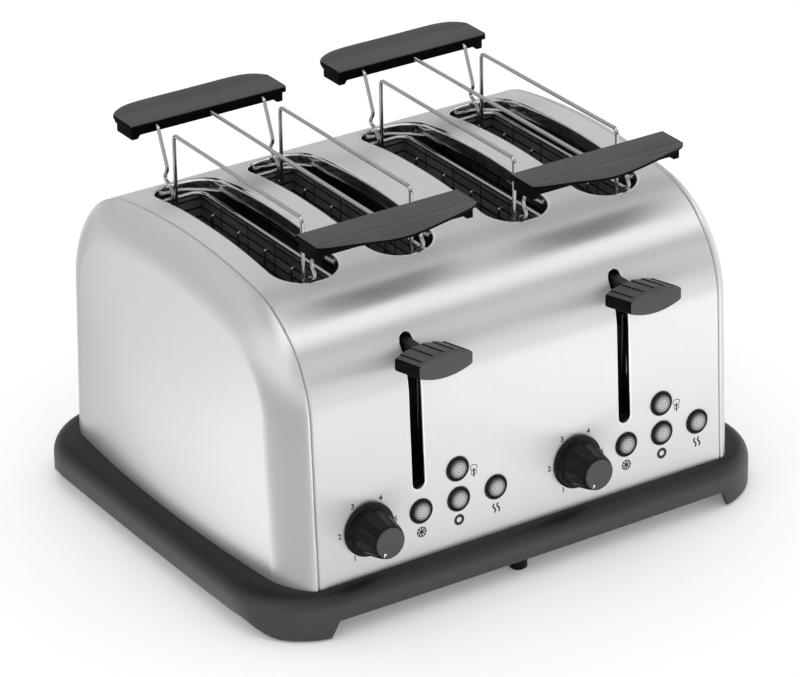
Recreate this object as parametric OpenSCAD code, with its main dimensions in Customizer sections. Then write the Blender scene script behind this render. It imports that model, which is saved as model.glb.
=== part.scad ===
// Four-slot toaster with two lift-off bun racks. Millimetres, +Z up, front towards -Y.
// The origin is under the middle of the whole outline, on the surface that it stands on.

/* [Wrap cover] */
// Width of the wrapped sheet, from seam to seam
cover_w = 258; // [240:1:280]
// Depth of the wrapped sheet at its foot, front to back
cover_d = 244.6; // [236:0.2:256]
// Height of the crown above the table
crown_z = 182.6; // [178:0.2:190]
// Lean of the front and back walls, degrees
wall_lean = 2.7; // [1:0.1:4]
// Radius of the shoulder between wall and crown
shoulder_r = 61; // [50:1:70]
// Radius of the crown across the depth
crown_r = 400; // [340:5:500]
// Thickness of the cover's sheet
sheet = 0.8; // [0.6:0.1:1.2]
// Depth of the rolled flange round each bread slot
slot_flange = 8; // [5:0.5:11]
// Depth of the rolled flange round each lever slot
lever_flange = 2.6; // [1.5:0.1:4]

/* [End caps] */
// Gap of the seam between cover and end cap
seam_gap = 0.5; // [0.3:0.1:0.9]
// How far the rounded edge of an end cap stands out
cap_depth = 15.5; // [12:0.5:20]
// Run of that rounded edge over the end face
cap_run = 24; // [16:0.5:30]
// Bow of the end face beyond the rounded edge
cap_bow = 5; // [1:0.5:7]
// Wall of an end cap
cap_wall = 1.2; // [0.8:0.1:2]

/* [Base] */
// How far the plinth reaches past the end caps
base_side_reach = 14.5; // [12.5:0.5:21]
// How far the plinth reaches past the cover's walls
base_front_reach = 11.7; // [10.7:0.1:19.7]
// Corner radius of the plinth in plan
base_corner_r = 44; // [30:1:50]
// Outward bow of the plinth's sides, included in its size
base_bow = 1.5; // [0:0.1:3]
// Height of the ledge that the cover stands on
ledge_z = 25.6; // [23:0.1:30]
// Radius of the plinth's top edge
base_edge_r = 10.5; // [6:0.5:11]
// Height of the skirt's lower edge between the feet
skirt_z = 10; // [5:0.5:12]
// Length of a corner foot along the front
foot_len = 40; // [34:1:50]
// Wall of the plinth
base_wall = 4; // [2.5:0.1:4.5]
// Width of the ledge, from the outside in
ledge_w = 22; // [20:0.5:26]
// Thickness of the bottom plate and the chassis sheets
plate_t = 1.2; // [0.8:0.1:2]
// Diameter of a rubber foot
foot_d = 14; // [10:0.5:18]
// Diameter of a cord wrap peg
peg_d = 10; // [7:0.5:12]
// Distance of the cord wrap pegs left of the middle
peg_x = 5; // [0:1:40]

/* [Bread slots] */
// Distance between the middles of the two halves
half_pitch = 132; // [130:1:138]
// Distance between the two slots of a half
slot_pitch = 58.8; // [57:0.2:60]
// Width of a bread slot
slot_w = 38.6; // [36:0.2:40]
// Length of a bread slot
slot_len = 146; // [140:0.5:150]
// Corner radius of a bread slot
slot_r = 17; // [14:0.5:18]
// Clear width inside a bread cage
cage_clear = 28; // [26:0.5:30]
// How far the end of a bread cage lies inside the end of its slot
cage_inset = 4; // [3.5:0.5:6]
// Gap between a slot's flange and the top of its cage
cage_gap = 0.3; // [0.2:0.1:2]
// Wire of a cage rim
rim_wire = 2.4; // [1.8:0.1:3]

/* [Levers] */
// Width of a lever slot
lever_slot_w = 7.2; // [6.8:0.1:8.4]
// Height of the lower end of a lever slot
lever_slot_low = 65; // [63:0.5:67]
// Height of a lever at rest
lever_z = 148; // [146:0.5:150]
// Travel of a lever
lever_travel = 75; // [70:1:76]
// Width of a lever knob
lever_w = 33; // [28:0.5:38]
// Height of a lever knob in the middle
lever_h = 14; // [12:0.5:16]
// Height of a lever knob at its ends
lever_end_h = 6.6; // [5:0.1:8]
// Length of a lever knob, front to back
lever_len = 23; // [20:0.5:26]
// How far a lever knob reaches in front of the cover's foot
lever_reach = 24.6; // [23:0.1:28]

/* [Dials and buttons] */
// Dial position left of the lever
dial_dx = 32.6; // [30:0.1:34]
// Height of the dials and of the lower row of buttons
control_z = 52.2; // [50:0.1:54]
// Diameter of a dial's skirt
dial_d = 30; // [26:0.5:32]
// Length of a dial
dial_len = 21; // [17:0.5:24]
// Number of flutes round a dial
dial_flutes = 12; // [8:1:16]
// Diameter of a dial's shaft
shaft_d = 6; // [5:0.1:6.4]
// Spacing of the buttons along a row
button_pitch = 23.6; // [22:0.1:25]
// Height of the upper button above the row
button_rise = 17.5; // [16:0.1:20]
// Diameter of a button's lens
button_d = 11; // [9:0.1:11.4]
// Diameter of a button's bezel
bezel_d = 14.2; // [13.8:0.1:15]
// Travel of a button
button_travel = 2; // [1:0.1:2.4]

/* [Bun racks] */
// Wire of the racks
rack_wire = 2.2; // [1.6:0.1:2.6]
// Distance between a rack's side wires
rack_span = 66.8; // [60:0.2:70]
// Distance of a straight leg inside the end of its slot
rack_leg_inset = 10; // [9:0.5:15]
// Height of a rack's rails
rack_z = 208; // [204:0.5:216]
// Distance of a handle's inner edge past the end of its slot
handle_gap = 7; // [6:0.5:11]
// Length of a handle
handle_len = 98; // [90:1:104]
// Depth of a handle at its ends
handle_end = 18.6; // [17:0.2:21]
// Depth of a handle at its middle
handle_mid = 28; // [26:0.5:30]
// Height of a handle's side
handle_h = 8; // [7.5:0.5:11]

/* [Crumb trays] */
// Width of a crumb tray
tray_w = 104; // [96:1:108]
// Height of a crumb tray's rim
tray_h = 5; // [4:0.5:6]

/* [Hidden] */
$fn = 48;
// Running clearance between parts that slide past each other
run_gap = 0.3;
// Clearance of a shaft in its bore, on the radius
shaft_gap = 0.06;
// Overlap that lets joined solids share volume
lap = 0.2;

steel = "#c9cbcc";
bright = "#e4e6e8";
satin_black = "#242424";
dark = "#171717";
zinc = "#9fa3a6";
mica = "#b79a6a";
board = "#2c5a3a";
lens_grey = "#8d8f90";
copper = "#b5713a";

left = -1;
right = 1;
half_x = half_pitch / 2;
base_w = cover_w + 2 * (seam_gap + cap_depth + cap_bow + base_side_reach);
base_d = cover_d + 2 * base_front_reach;
cage_len = slot_len - 2 * cage_inset;
rack_leg_y = slot_len / 2 - rack_leg_inset;
handle_y = slot_len / 2 + handle_gap;

// The levers reach past the plinth at the front and the tray pulls at the back
tray_pull_reach = 6;
front_reach = cover_d / 2 + lever_reach;
back_reach = max(base_d / 2, cover_d / 2 + tray_pull_reach);
body_y = (front_reach - back_reach) / 2;

// Every piece is drawn about the body's middle and set back so that the outline is centred
module placed() {
    translate([0, body_y, 0]) children();
}

// Side outline of the shell: wall, shoulder arc and crown arc, tangent to each other
lean_t = tan(wall_lean);
crown_cz = crown_z - crown_r;
arc_a = -cover_d / 2 + shoulder_r / cos(wall_lean);
arc_b = ledge_z - crown_cz;
arc_k = arc_a * lean_t + arc_b;
arc_m = 1 + pow(lean_t, 2);
arc_q = pow(arc_a, 2) + pow(arc_b, 2) - pow(crown_r - shoulder_r, 2);
arc_w = (sqrt(pow(arc_k, 2) - arc_m * arc_q) - arc_k) / arc_m;
shoulder_y = arc_a + lean_t * arc_w;
shoulder_z = ledge_z + arc_w;
blend_a = atan2(shoulder_z - crown_cz, shoulder_y);
shoulder_steps = 10;
crown_steps = 16;

function arc(c, r, a0, a1, steps, first = 0) =
    [for (i = [first:steps]) let (a = a0 + (a1 - a0) * i / steps) c + r * [cos(a), sin(a)]];

// Front wall at a height, moved in by an inset
function wall_y(z, inset = 0) = -cover_d / 2 + (z - ledge_z) * lean_t + inset / cos(wall_lean);

// Top of the shell at a distance from the middle, on the crown or a shoulder
function top_at(y) = abs(y) < -crown_r * cos(blend_a)
    ? crown_cz + sqrt(pow(crown_r, 2) - pow(y, 2))
    : shoulder_z + sqrt(pow(shoulder_r, 2) - pow(abs(y) + shoulder_y, 2));

function shell_outline(inset, low = ledge_z) = concat(
    [[wall_y(low, inset), low]],
    arc([shoulder_y, shoulder_z], shoulder_r - inset, 180 - wall_lean, blend_a, shoulder_steps),
    arc([0, crown_cz], crown_r - inset, blend_a, 180 - blend_a, crown_steps, 1),
    arc([-shoulder_y, shoulder_z], shoulder_r - inset, 180 - blend_a, wall_lean, shoulder_steps, 1),
    [[-wall_y(low, inset), low]]
);

// A side outline drawn along X
module along_x(length) {
    rotate([90, 0, 90]) linear_extrude(length, center = true) children();
}

// The band of the shell between two insets
module shell_band(length, outer, inner, low = ledge_z) {
    along_x(length) difference() {
        polygon(shell_outline(outer, low));
        translate([0, -lap]) polygon(shell_outline(inner, low - lap));
    }
}

// Rectangle with round corners, made of true arcs
module round_rect(w, l, r) {
    square([w - 2 * r, l], center = true);
    square([w, l - 2 * r], center = true);
    for (x = [-1, 1], y = [-1, 1])
        translate([x * (w / 2 - r), y * (l / 2 - r)]) circle(r);
}

// A frame on the leaning front wall: local Z points out of the wall, local Y up along it
module on_front(x, z) {
    translate([x, wall_y(z), z]) rotate([90 - wall_lean, 0, 0]) children();
}

function slot_x(i) = (i < 2 ? left : right) * half_x + (i % 2 == 0 ? -1 : 1) * slot_pitch / 2;

// Skin of triangles over rings of points
function ring_faces(rings, count, wrap_ring, wrap_point) = [
    for (k = [0:rings - (wrap_ring ? 1 : 2)], j = [0:count - (wrap_point ? 1 : 2)])
        let (a = k * count + j, b = k * count + (j + 1) % count,
             c = ((k + 1) % rings) * count + (j + 1) % count, d = ((k + 1) % rings) * count + j)
            each [[a, b, c], [a, c, d]]
];

function joined(lists) = [for (l = lists) each l];
function blend(low, high, v) = let (t = min(1, max(0, (v - low) / (high - low)))) t * t * (3 - 2 * t);

// Round tube along a path
function unit(v) = v / norm(v);
function tangent(path, i) = unit(path[min(i + 1, len(path) - 1)] - path[max(i - 1, 0)]);
function turned(n, t) = unit(n - (n * t) * t);
function frames(path, n, i = 0) = i == len(path) ? []
    : let (m = turned(n, tangent(path, i))) concat([m], frames(path, m, i + 1));
function tube_points(path, r, sides, start) =
    let (f = frames(path, start))
        [for (i = [0:len(path) - 1], s = [0:sides - 1])
            let (t = tangent(path, i), b = cross(t, f[i]), a = 360 * s / sides)
                path[i] + r * (cos(a) * f[i] + sin(a) * b)];
module tube(path, d, sides, start) {
    n = len(path);
    caps = [[for (s = [0:sides - 1]) s], [for (s = [sides - 1:-1:0]) (n - 1) * sides + s]];
    polyhedron(tube_points(path, d / 2, sides, start),
        concat([for (f = ring_faces(n, sides, false, true)) [f[2], f[1], f[0]]], caps));
}

// Corner of a path rounded to a bend radius
function bend(a, b, c, r, steps) =
    let (u = unit(a - b), v = unit(c - b), half = acos(max(-1, min(1, u * v))) / 2,
         reach = r / tan(half), mid = b + unit(u + v) * r / sin(half),
         p = b + u * reach - mid, q = b + v * reach - mid, turn = 180 - 2 * half)
        [for (i = [0:steps]) mid + (p * sin(turn * (1 - i / steps)) + q * sin(turn * i / steps)) / sin(turn)];
function bent_path(p, r, steps) = concat([p[0]],
    joined([for (i = [1:len(p) - 2]) bend(p[i - 1], p[i], p[i + 1], r[i - 1], steps)]), [p[len(p) - 1]]);

// Base

plan_w = base_w / 2 - base_bow;
plan_d = base_d / 2 - base_bow;
plan_arc_steps = 12;
plan_side_steps = 6;
foot_step = 6;
foot_side_start = 30;
foot_side_end = 8;
// The rubber feet carry the weight, just below the plinth's own corners
foot_lift = 0.6;

function bowed(p) = [
    p[0] * (1 + base_bow / plan_w * (1 - pow(p[1] / plan_d, 2))),
    p[1] * (1 + base_bow / plan_d * (1 - pow(p[0] / plan_w, 2)))
];
function plan_corner(k, inset) =
    let (sx = (k == 0 || k == 1) ? 1 : -1, sy = (k == 1 || k == 2) ? 1 : -1)
        arc([sx * (plan_w - base_corner_r), sy * (plan_d - base_corner_r)],
            base_corner_r - inset, 270 + 90 * k, 360 + 90 * k, plan_arc_steps);
function plan_loop(inset) = joined([for (k = [0:3])
    let (here = plan_corner(k, inset), next = plan_corner((k + 1) % 4, inset),
         from = here[plan_arc_steps], to = next[0])
        concat(here, [for (i = [1:plan_side_steps - 1]) from + (to - from) * i / plan_side_steps])]);
function foot_share(p) = blend(base_w / 2 - foot_len - foot_step, base_w / 2 - foot_len, abs(p[0]))
    * blend(base_d / 2 - foot_side_start, base_d / 2 - foot_side_end, abs(p[1]));
function skirt_at(p) = foot_lift + (skirt_z - foot_lift) * (1 - foot_share(p));
function level_ring(inset, z) = [for (p = plan_loop(inset)) let (b = bowed(p)) [b[0], b[1], z]];
function skirt_ring(inset, rise) = [for (p = plan_loop(inset))
    let (b = bowed(p)) [b[0], b[1], skirt_at(p) + rise]];

plate_top = 15;
base_edge_steps = 6;
inner_edge_r = max(1, base_edge_r - base_wall);
skirt_round = 1.2;

module base_plinth() {
    edge_rings = [for (i = [0:base_edge_steps]) let (a = 90 * i / base_edge_steps)
        level_ring(base_edge_r * (1 - cos(a)), ledge_z - base_edge_r * (1 - sin(a)))];
    hollow_rings = [for (a = [90, 45, 0])
        level_ring(base_wall + inner_edge_r * (1 - cos(a)),
            ledge_z - base_wall - inner_edge_r * (1 - sin(a)))];
    rings = concat(
        [skirt_ring(skirt_round, 0), skirt_ring(0, skirt_round)],
        edge_rings,
        [level_ring(ledge_w, ledge_z), level_ring(ledge_w, plate_top),
         level_ring(ledge_w - base_wall, plate_top), level_ring(ledge_w - base_wall, ledge_z - base_wall)],
        hollow_rings,
        [skirt_ring(base_wall, skirt_round), skirt_ring(base_wall - skirt_round, 0)]
    );
    count = len(rings[0]);
    color(satin_black) placed() difference() {
        polyhedron(joined(rings), [for (f = ring_faces(len(rings), count, true, true)) [f[2], f[1], f[0]]]);
        for (p = screw_places()) translate([p[0], p[1], plate_top - lap])
            cylinder(d = screw_d, h = screw_bite + lap);
    }
}

// Screws through the bottom plate into the plinth's inner wall
screw_d = 2.6;
screw_head_d = 5.6;
screw_head_h = 1.8;
screw_bite = 7;
screw_pitch = 90;
screw_mid = ledge_w - base_wall / 2;
function screw_places() = [
    for (x = [-1, 0, 1], y = [-1, 1]) bowed([x * screw_pitch, y * (plan_d - screw_mid)]),
    for (x = [-1, 1]) bowed([x * (plan_w - screw_mid), 0])
];

module base_screws() {
    color(zinc) placed() for (p = screw_places()) translate([p[0], p[1], plate_top - plate_t]) {
        translate([0, 0, -screw_head_h]) cylinder(d = screw_head_d, h = screw_head_h);
        translate([0, 0, -lap])
            cylinder(d = screw_d - 2 * shaft_gap, h = plate_t + screw_bite + lap - run_gap);
    }
}

vent_w = 4;
vent_r = 1.9;
vent_len = 46;
vent_pitch = 12;
vent_rows = 4;

module bottom_plate() {
    color(zinc) placed() translate([0, 0, plate_top - plate_t]) linear_extrude(plate_t) difference() {
        polygon([for (p = plan_loop(base_wall + run_gap)) bowed(p)]);
        for (x = [left, right] * half_x, y = [1:vent_rows])
            translate([x, (y - (vent_rows + 1) / 2) * vent_pitch])
            round_rect(vent_len, vent_w, vent_r);
        for (p = screw_places()) translate(p) circle(d = screw_d + 2 * shaft_gap);
    }
}

foot_groove = 0.8;
foot_wall_gap = 1;
foot_off = (base_corner_r - base_wall - foot_d / 2 - foot_wall_gap) / sqrt(2);

module rubber_feet() {
    top = plate_top - plate_t;
    wide = foot_d / 2;
    slim = wide - foot_groove;
    foot_x = plan_w - base_corner_r + foot_off;
    foot_y = plan_d - base_corner_r + foot_off;
    color(dark) placed() for (x = [-1, 1], y = [-1, 1])
        translate([x * foot_x, y * foot_y, 0]) rotate_extrude()
        polygon([[0, 0], [slim, 0], [wide, foot_groove], [wide, top / 2],
            [slim, top / 2 + foot_groove], [slim, top], [0, top]]);
}

peg_chamfer = 1;
peg_lift = 0.4;
peg_y = base_d / 2 - base_wall - base_bow - peg_d / 2 - foot_wall_gap;

module wrap_pegs() {
    color(dark) placed() for (y = [-1, 1]) translate([-peg_x, y * peg_y, peg_lift]) {
        cylinder(d1 = peg_d - 2 * peg_chamfer, d2 = peg_d, h = peg_chamfer);
        translate([0, 0, peg_chamfer]) cylinder(d = peg_d, h = plate_top - plate_t - peg_lift - peg_chamfer);
    }
}

// Chassis

floor_z = ledge_z + plate_t;
floor_hold = 5;
bulkhead_gap = 9;
bulkhead_y = slot_len / 2 + bulkhead_gap;
bulkhead_t = 1;
bulkhead_drop = 8;
chassis_gap = 4;
chassis_w = cover_w - 2 * chassis_gap;
bulkhead_top = top_at(bulkhead_y) - bulkhead_drop;
lift_z = 116;
lift_arm_w = 4;
lift_arm_h = 6;
lift_slot_gap = 1.5;
// The rods and magnets stand midway between the bulkhead and the control boards
control_depth = 13;
control_t = 1.6;
control_edge = 10;
board_back_y = wall_y(control_z + button_rise + control_edge) + (control_depth + control_t) / cos(wall_lean);
rod_y = (board_back_y - bulkhead_y - bulkhead_t) / 2;
rod_x = 20;
rod_d = 6;
bracket_z = 152;
bracket_t = 1.5;
bracket_w = 16;
bracket_edge = 8;
bracket_reach = -rod_y - bulkhead_y + bracket_edge;

module chassis_floor() {
    color(zinc) placed() translate([0, 0, ledge_z]) linear_extrude(plate_t)
        square([chassis_w, base_d - 2 * ledge_w + 2 * floor_hold], center = true);
}

module bulkhead_sheet(y) {
    translate([-chassis_w / 2, y - (y < 0 ? bulkhead_t : 0), floor_z])
        cube([chassis_w, bulkhead_t, bulkhead_top - floor_z]);
}

module front_bulkhead() {
    slot_low = lift_z - lever_travel - lift_slot_gap;
    slot_high = lift_z + lift_arm_h + lift_slot_gap;
    color(zinc) placed() {
        difference() {
            bulkhead_sheet(-bulkhead_y);
            for (i = [0:3])
                translate([slot_x(i) - lift_arm_w / 2 - lift_slot_gap,
                    -bulkhead_y - 2 * bulkhead_t, slot_low])
                    cube([lift_arm_w + 2 * lift_slot_gap, 4 * bulkhead_t, slot_high - slot_low]);
        }
        // Shelves that hold the rod and the spring of each half
        for (h = [left, right], s = [-1, 1]) difference() {
            translate([h * half_x + s * rod_x - bracket_w / 2, -bulkhead_y - bracket_reach, bracket_z])
                cube([bracket_w, bracket_reach, bracket_t]);
            if (s > 0) translate([h * half_x + rod_x, rod_y, bracket_z - bracket_t])
                cylinder(d = rod_d + 2 * shaft_gap, h = 3 * bracket_t);
        }
    }
}

tray_gap = 0.3;
tray_door_gap = 1;
tray_door_room = 2.4;
tray_door_w = tray_w + 2 * tray_door_gap;
tray_door_h = tray_h + tray_door_room;

module rear_bulkhead() {
    color(zinc) placed() difference() {
        bulkhead_sheet(bulkhead_y);
        for (h = [left, right])
            translate([h * half_x - tray_door_w / 2, bulkhead_y - bulkhead_t, floor_z - lap])
            cube([tray_door_w, 3 * bulkhead_t, tray_door_h + lap]);
    }
}

module guide_rods() {
    color(bright) placed() for (h = [left, right]) translate([h * half_x + rod_x, rod_y, floor_z])
        cylinder(d = rod_d, h = bracket_z + bracket_t - floor_z);
}

// Wrap cover and end caps

bezel_flange = 0.7;
bezel_hole_d = bezel_d - 2 * bezel_flange;
dial_hole_gap = 1;
dial_hole_d = shaft_d + 2 * dial_hole_gap;
wall_cut = 10;
gland_x = 0;
gland_z = 46;
gland_hole_d = 14;
arm_side_gap = 1.1;
arm_w = lever_slot_w - 2 * arm_side_gap;
arm_h = 5;
// The arm joins its knob a little below the middle
arm_drop = 2.5;
arm_z = lever_z - arm_drop;
lever_slot_room = 2.8;
lever_slot_top = arm_z + arm_h / 2 + lever_slot_room;
button_dx = 0.4;

function button_places() = [
    [button_dx, 0], [button_dx + button_pitch, 0],
    [button_dx + 2 * button_pitch, 0], [button_dx + button_pitch, button_rise]
];

module slot_holes(grow) {
    for (i = [0:3]) translate([slot_x(i), 0, shoulder_z]) linear_extrude(crown_z)
        round_rect(slot_w + 2 * grow, slot_len + 2 * grow, slot_r + grow);
}

module lever_holes(grow) {
    r = lever_slot_w / 2 + grow;
    low = lever_slot_low + lever_slot_w / 2;
    high = lever_slot_top - lever_slot_w / 2;
    for (h = [left, right]) translate([h * half_x, -cover_d / 2 + shoulder_r / 2, 0]) rotate([90, 0, 0]) {
        for (z = [low, high]) translate([0, z]) cylinder(r = r, h = shoulder_r);
        translate([-r, low]) cube([2 * r, high - low, shoulder_r]);
    }
}

module wrap_cover() {
    color(steel) placed() difference() {
        union() {
            shell_band(cover_w, 0, sheet);
            intersection() {
                shell_band(cover_w, lap, slot_flange, shoulder_z);
                slot_holes(sheet);
            }
            intersection() {
                shell_band(cover_w, lap, lever_flange);
                lever_holes(sheet);
            }
        }
        slot_holes(0);
        lever_holes(0);
        for (h = [left, right]) {
            on_front(h * half_x - dial_dx, control_z) cylinder(d = dial_hole_d, h = wall_cut, center = true);
            for (b = button_places()) on_front(h * half_x + b[0], control_z + b[1])
                cylinder(d = bezel_hole_d, h = wall_cut, center = true);
            translate([h * half_x - tray_door_w / 2, 0, floor_z]) cube([tray_door_w, cover_d, tray_door_h]);
        }
        translate([gland_x, cover_d / 2, gland_z]) rotate([90, 0, 0])
            cylinder(d = gland_hole_d, h = 2 * wall_cut, center = true);
    }
}

cap_edge_steps = 7;
cap_scales = [0.72, 0.4];
cap_edge_angles = [for (i = [0:cap_edge_steps]) 90 * i / cap_edge_steps];

function cap_ring(inset, scale_in, depth) = [for (p = shell_outline(inset))
    [depth, p[0] * scale_in, ledge_z + (p[1] - ledge_z) * scale_in]];
function cap_rings(wall) = concat(
    [for (a = cap_edge_angles) cap_ring(
        wall + (cap_run - wall) * (1 - cos(a)), 1, (cap_depth - wall) * sin(a))],
    [for (s = cap_scales) cap_ring(cap_run, s, cap_depth - wall + cap_bow * (1 - pow(s, 2)))]
);

module end_cap() {
    outer = cap_rings(0);
    inner = cap_rings(cap_wall);
    rings = len(outer);
    n = len(outer[0]);
    far = rings * n;
    last = (rings - 1) * n;
    skin = ring_faces(rings, n, false, false);
    mouth = [for (j = [0:n - 2]) each [[j, far + j + 1, j + 1], [j, far + j, far + j + 1]]];
    foot = [for (k = [0:rings - 2]) let (a = k * n, b = (k + 1) * n, e = n - 1) each [
        [a, b, far + b], [a, far + b, far + a],
        [a + e, far + b + e, b + e], [a + e, far + a + e, far + b + e]]];
    end_foot = [[last, last + n - 1, far + last + n - 1], [last, far + last + n - 1, far + last]];
    face = [[for (j = [0:n - 1]) last + j]];
    inner_face = [[for (j = [n - 1:-1:0]) far + last + j]];
    polyhedron(concat(joined(outer), joined(inner)), concat(
        skin, [for (f = skin) [far + f[2], far + f[1], far + f[0]]],
            mouth, foot, end_foot, face, inner_face));
}

module left_end_cap() {
    color(steel) placed() translate([-cover_w / 2 - seam_gap, 0, 0]) mirror([1, 0, 0]) end_cap();
}

module right_end_cap() {
    color(steel) placed() translate([cover_w / 2 + seam_gap, 0, 0]) end_cap();
}

// Bread cages and heaters

cage_t = 0.8;
cage_top = top_at(slot_len / 2) - slot_flange - cage_gap;
cage_low_gap = 2;
cage_low = lift_z - lever_travel - cage_low_gap;
cage_window_h = 11;
cage_window_pitch = 16;
cage_window_rows = 6;
cage_window_cols = 3;
cage_window_gap = 7;
// The end sheets stand in between the side sheets
cage_joint = 0.1;

module bread_cage(i) {
    h = cage_top - cage_low;
    cell = cage_len / cage_window_cols;
    slot_h = lift_z + lift_arm_h + lift_slot_gap - cage_low;
    color(dark) placed() translate([slot_x(i), 0, cage_low]) difference() {
        union() {
            for (s = [-1, 1]) translate([s * (cage_clear + cage_t) / 2 - cage_t / 2, -bulkhead_y, 0])
                cube([cage_t, 2 * bulkhead_y, h]);
            for (s = [-1, 1]) translate([cage_joint - cage_clear / 2,
                s * (cage_len + cage_t) / 2 - cage_t / 2, 0])
                cube([cage_clear - 2 * cage_joint, cage_t, h]);
        }
        // Windows in front of the heating ribbon
        for (c = [0:cage_window_cols - 1], r = [1:cage_window_rows])
            translate([0, -cage_len / 2 + cell * (c + 0.5), r * cage_window_pitch])
                cube([cage_clear * 2, cell - cage_window_gap, cage_window_h], center = true);
        // Slot for the lift arm
        translate([-lift_arm_w / 2 - lift_slot_gap, -cage_len / 2 - 3 * cage_t, -lap])
            cube([lift_arm_w + 2 * lift_slot_gap, 6 * cage_t, slot_h + lap]);
    }
}

rim_bend_r = 7;
rim_steps = 4;
rim_sides = 8;

module rim_loop(w, l) {
    bend_x = w / 2 - rim_bend_r;
    bend_y = l / 2 - rim_bend_r;
    corners = [for (k = [0:3]) let (sx = (k == 0 || k == 1) ? 1 : -1, sy = (k == 1 || k == 2) ? 1 : -1)
        each [for (p = arc([sx * bend_x, sy * bend_y], rim_bend_r, 270 + 90 * k, 360 + 90 * k, rim_steps))
            [p[0], p[1], 0]]];
    n = len(corners);
    points = [for (i = [0:n - 1], s = [0:rim_sides - 1])
        let (t = unit(corners[(i + 1) % n] - corners[(i + n - 1) % n]), o = cross(t, [0, 0, 1]),
             a = 360 * (s + 0.5) / rim_sides)
            corners[i] + rim_wire / 2 * (cos(a) * o + sin(a) * [0, 0, 1])];
    polyhedron(points, ring_faces(n, rim_sides, true, true));
}

module cage_rims() {
    color(bright) placed() for (i = [0:3]) translate([slot_x(i), 0, cage_top + rim_wire / 2])
        rim_loop(cage_clear + cage_t, cage_len + cage_t);
}

heater_t = 1;
heater_drop = 12;
heater_top = cage_top - heater_drop;
ribbon_w = 2.2;
ribbon_t = 0.3;
heater_gap = 6;

// Each half has one board between its cages and one outside each cage
function heater_x(k) = (k < 3 ? left : right) * half_x
    + (k % 3 - 1) * (slot_pitch / 2 + cage_clear / 2 + cage_t + heater_gap);

module heater_board(k) {
    x = heater_x(k);
    color(mica) placed() union() {
        translate([x - heater_t / 2, -bulkhead_y, cage_low])
            cube([heater_t, 2 * bulkhead_y, heater_top - cage_low]);
        // Ribbon wound in level rows over both faces
        for (r = [1:cage_window_rows])
            translate([x - heater_t / 2 - ribbon_t, -cage_len / 2,
                cage_low + r * cage_window_pitch - ribbon_w / 2])
                cube([heater_t + 2 * ribbon_t, cage_len, ribbon_w]);
    }
}

// Lift mechanism

carriage_t = 3;
carriage_gap = 1;
carriage_y = -(bulkhead_y + bulkhead_t + carriage_gap + carriage_t);
carriage_h = 12;
hub_d = 12;
hub_h = 14;
tab_t = 3;
tab_reach = 7;
mast_w = 12;
lever_front_y = -cover_d / 2 - lever_reach;
lever_socket = 4;
arm_tip_y = lever_front_y + lever_socket;

module carriage(h) {
    x = h * half_x;
    span = slot_pitch + lift_arm_w;
    color(zinc) placed() difference() {
        union() {
            translate([x - span / 2, carriage_y, lift_z]) cube([span, carriage_t, carriage_h]);
            // Hub on the guide rod
            translate([x + rod_x, rod_y, lift_z]) cylinder(d = hub_d, h = hub_h);
            translate([x + rod_x - hub_d / 3, rod_y, lift_z])
                cube([hub_d * 2 / 3, carriage_y - rod_y + lap, carriage_h]);
            // Shelf for the spring, which is also the magnet's armature
            translate([x - rod_x - bracket_w / 2, rod_y - tab_reach, lift_z])
                cube([bracket_w, carriage_y - rod_y + tab_reach + lap, tab_t]);
            // Mast and lever arm
            translate([x - mast_w / 2, carriage_y - carriage_t, lift_z])
                cube([mast_w, carriage_t + lap, arm_z + arm_h / 2 - lift_z]);
            translate([x - arm_w / 2, arm_tip_y, arm_z - arm_h / 2])
                cube([arm_w, carriage_y - arm_tip_y, arm_h]);
        }
        translate([x + rod_x, rod_y, lift_z - lap]) cylinder(d = rod_d + 2 * shaft_gap, h = hub_h + 2 * lap);
    }
}

lift_w = 14;
lift_t = 2;
lift_teeth = 11;
lift_tooth_w = 3;
lift_end_gap = 3;

module bread_lift(i) {
    front = -cage_len / 2 + lift_end_gap;
    back = cage_len / 2 - lift_end_gap;
    step = (back - front - lift_tooth_w) / (lift_teeth - 1);
    color(zinc) placed() translate([slot_x(i), 0, lift_z]) {
        translate([-lift_arm_w / 2, carriage_y + carriage_t, 0])
            cube([lift_arm_w, back - carriage_y - carriage_t, lift_arm_h / 2]);
        translate([-lift_arm_w / 2, carriage_y + carriage_t, 0])
            cube([lift_arm_w, front - carriage_y - carriage_t, lift_arm_h]);
        // Cross teeth that carry the bread
        for (t = [0:lift_teeth - 1]) translate([-lift_w / 2, front + step * t, 0])
            cube([lift_w, lift_tooth_w, lift_t]);
    }
}

spring_wire = 0.9;
// Share of the room between carriage and control board that a spring fills
spring_share = 0.44;
spring_d = spring_share * (carriage_y - board_back_y);
spring_turns = 12;
spring_sides = 6;
spring_rings = 8;
spring_low = lift_z + tab_t + run_gap + spring_wire / 2;
spring_high = bracket_z - run_gap - spring_wire / 2;
spring_r = (spring_d - spring_wire) / 2;
// The spring stands midway between the carriage and the control board
spring_y = (carriage_y + board_back_y) / 2;
spring_rise = (spring_high - spring_low) / spring_turns;
echo(spring_self_gap = spring_rise - spring_wire);

module lift_spring(h) {
    steps = spring_turns * spring_rings;
    path = [for (i = [0:steps]) let (a = 360 * i / spring_rings)
        [spring_r * cos(a), spring_r * sin(a), spring_low + (spring_high - spring_low) * i / steps]];
    color(bright) placed() translate([h * half_x - rod_x, spring_y, 0])
        tube(path, spring_wire, spring_sides, [1, 0, 0]);
}

magnet_w = 20;
magnet_d = 11;
magnet_gap = 0.5;
magnet_core = 6;
magnet_coil = 9;
magnet_yoke = 3;

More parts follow.
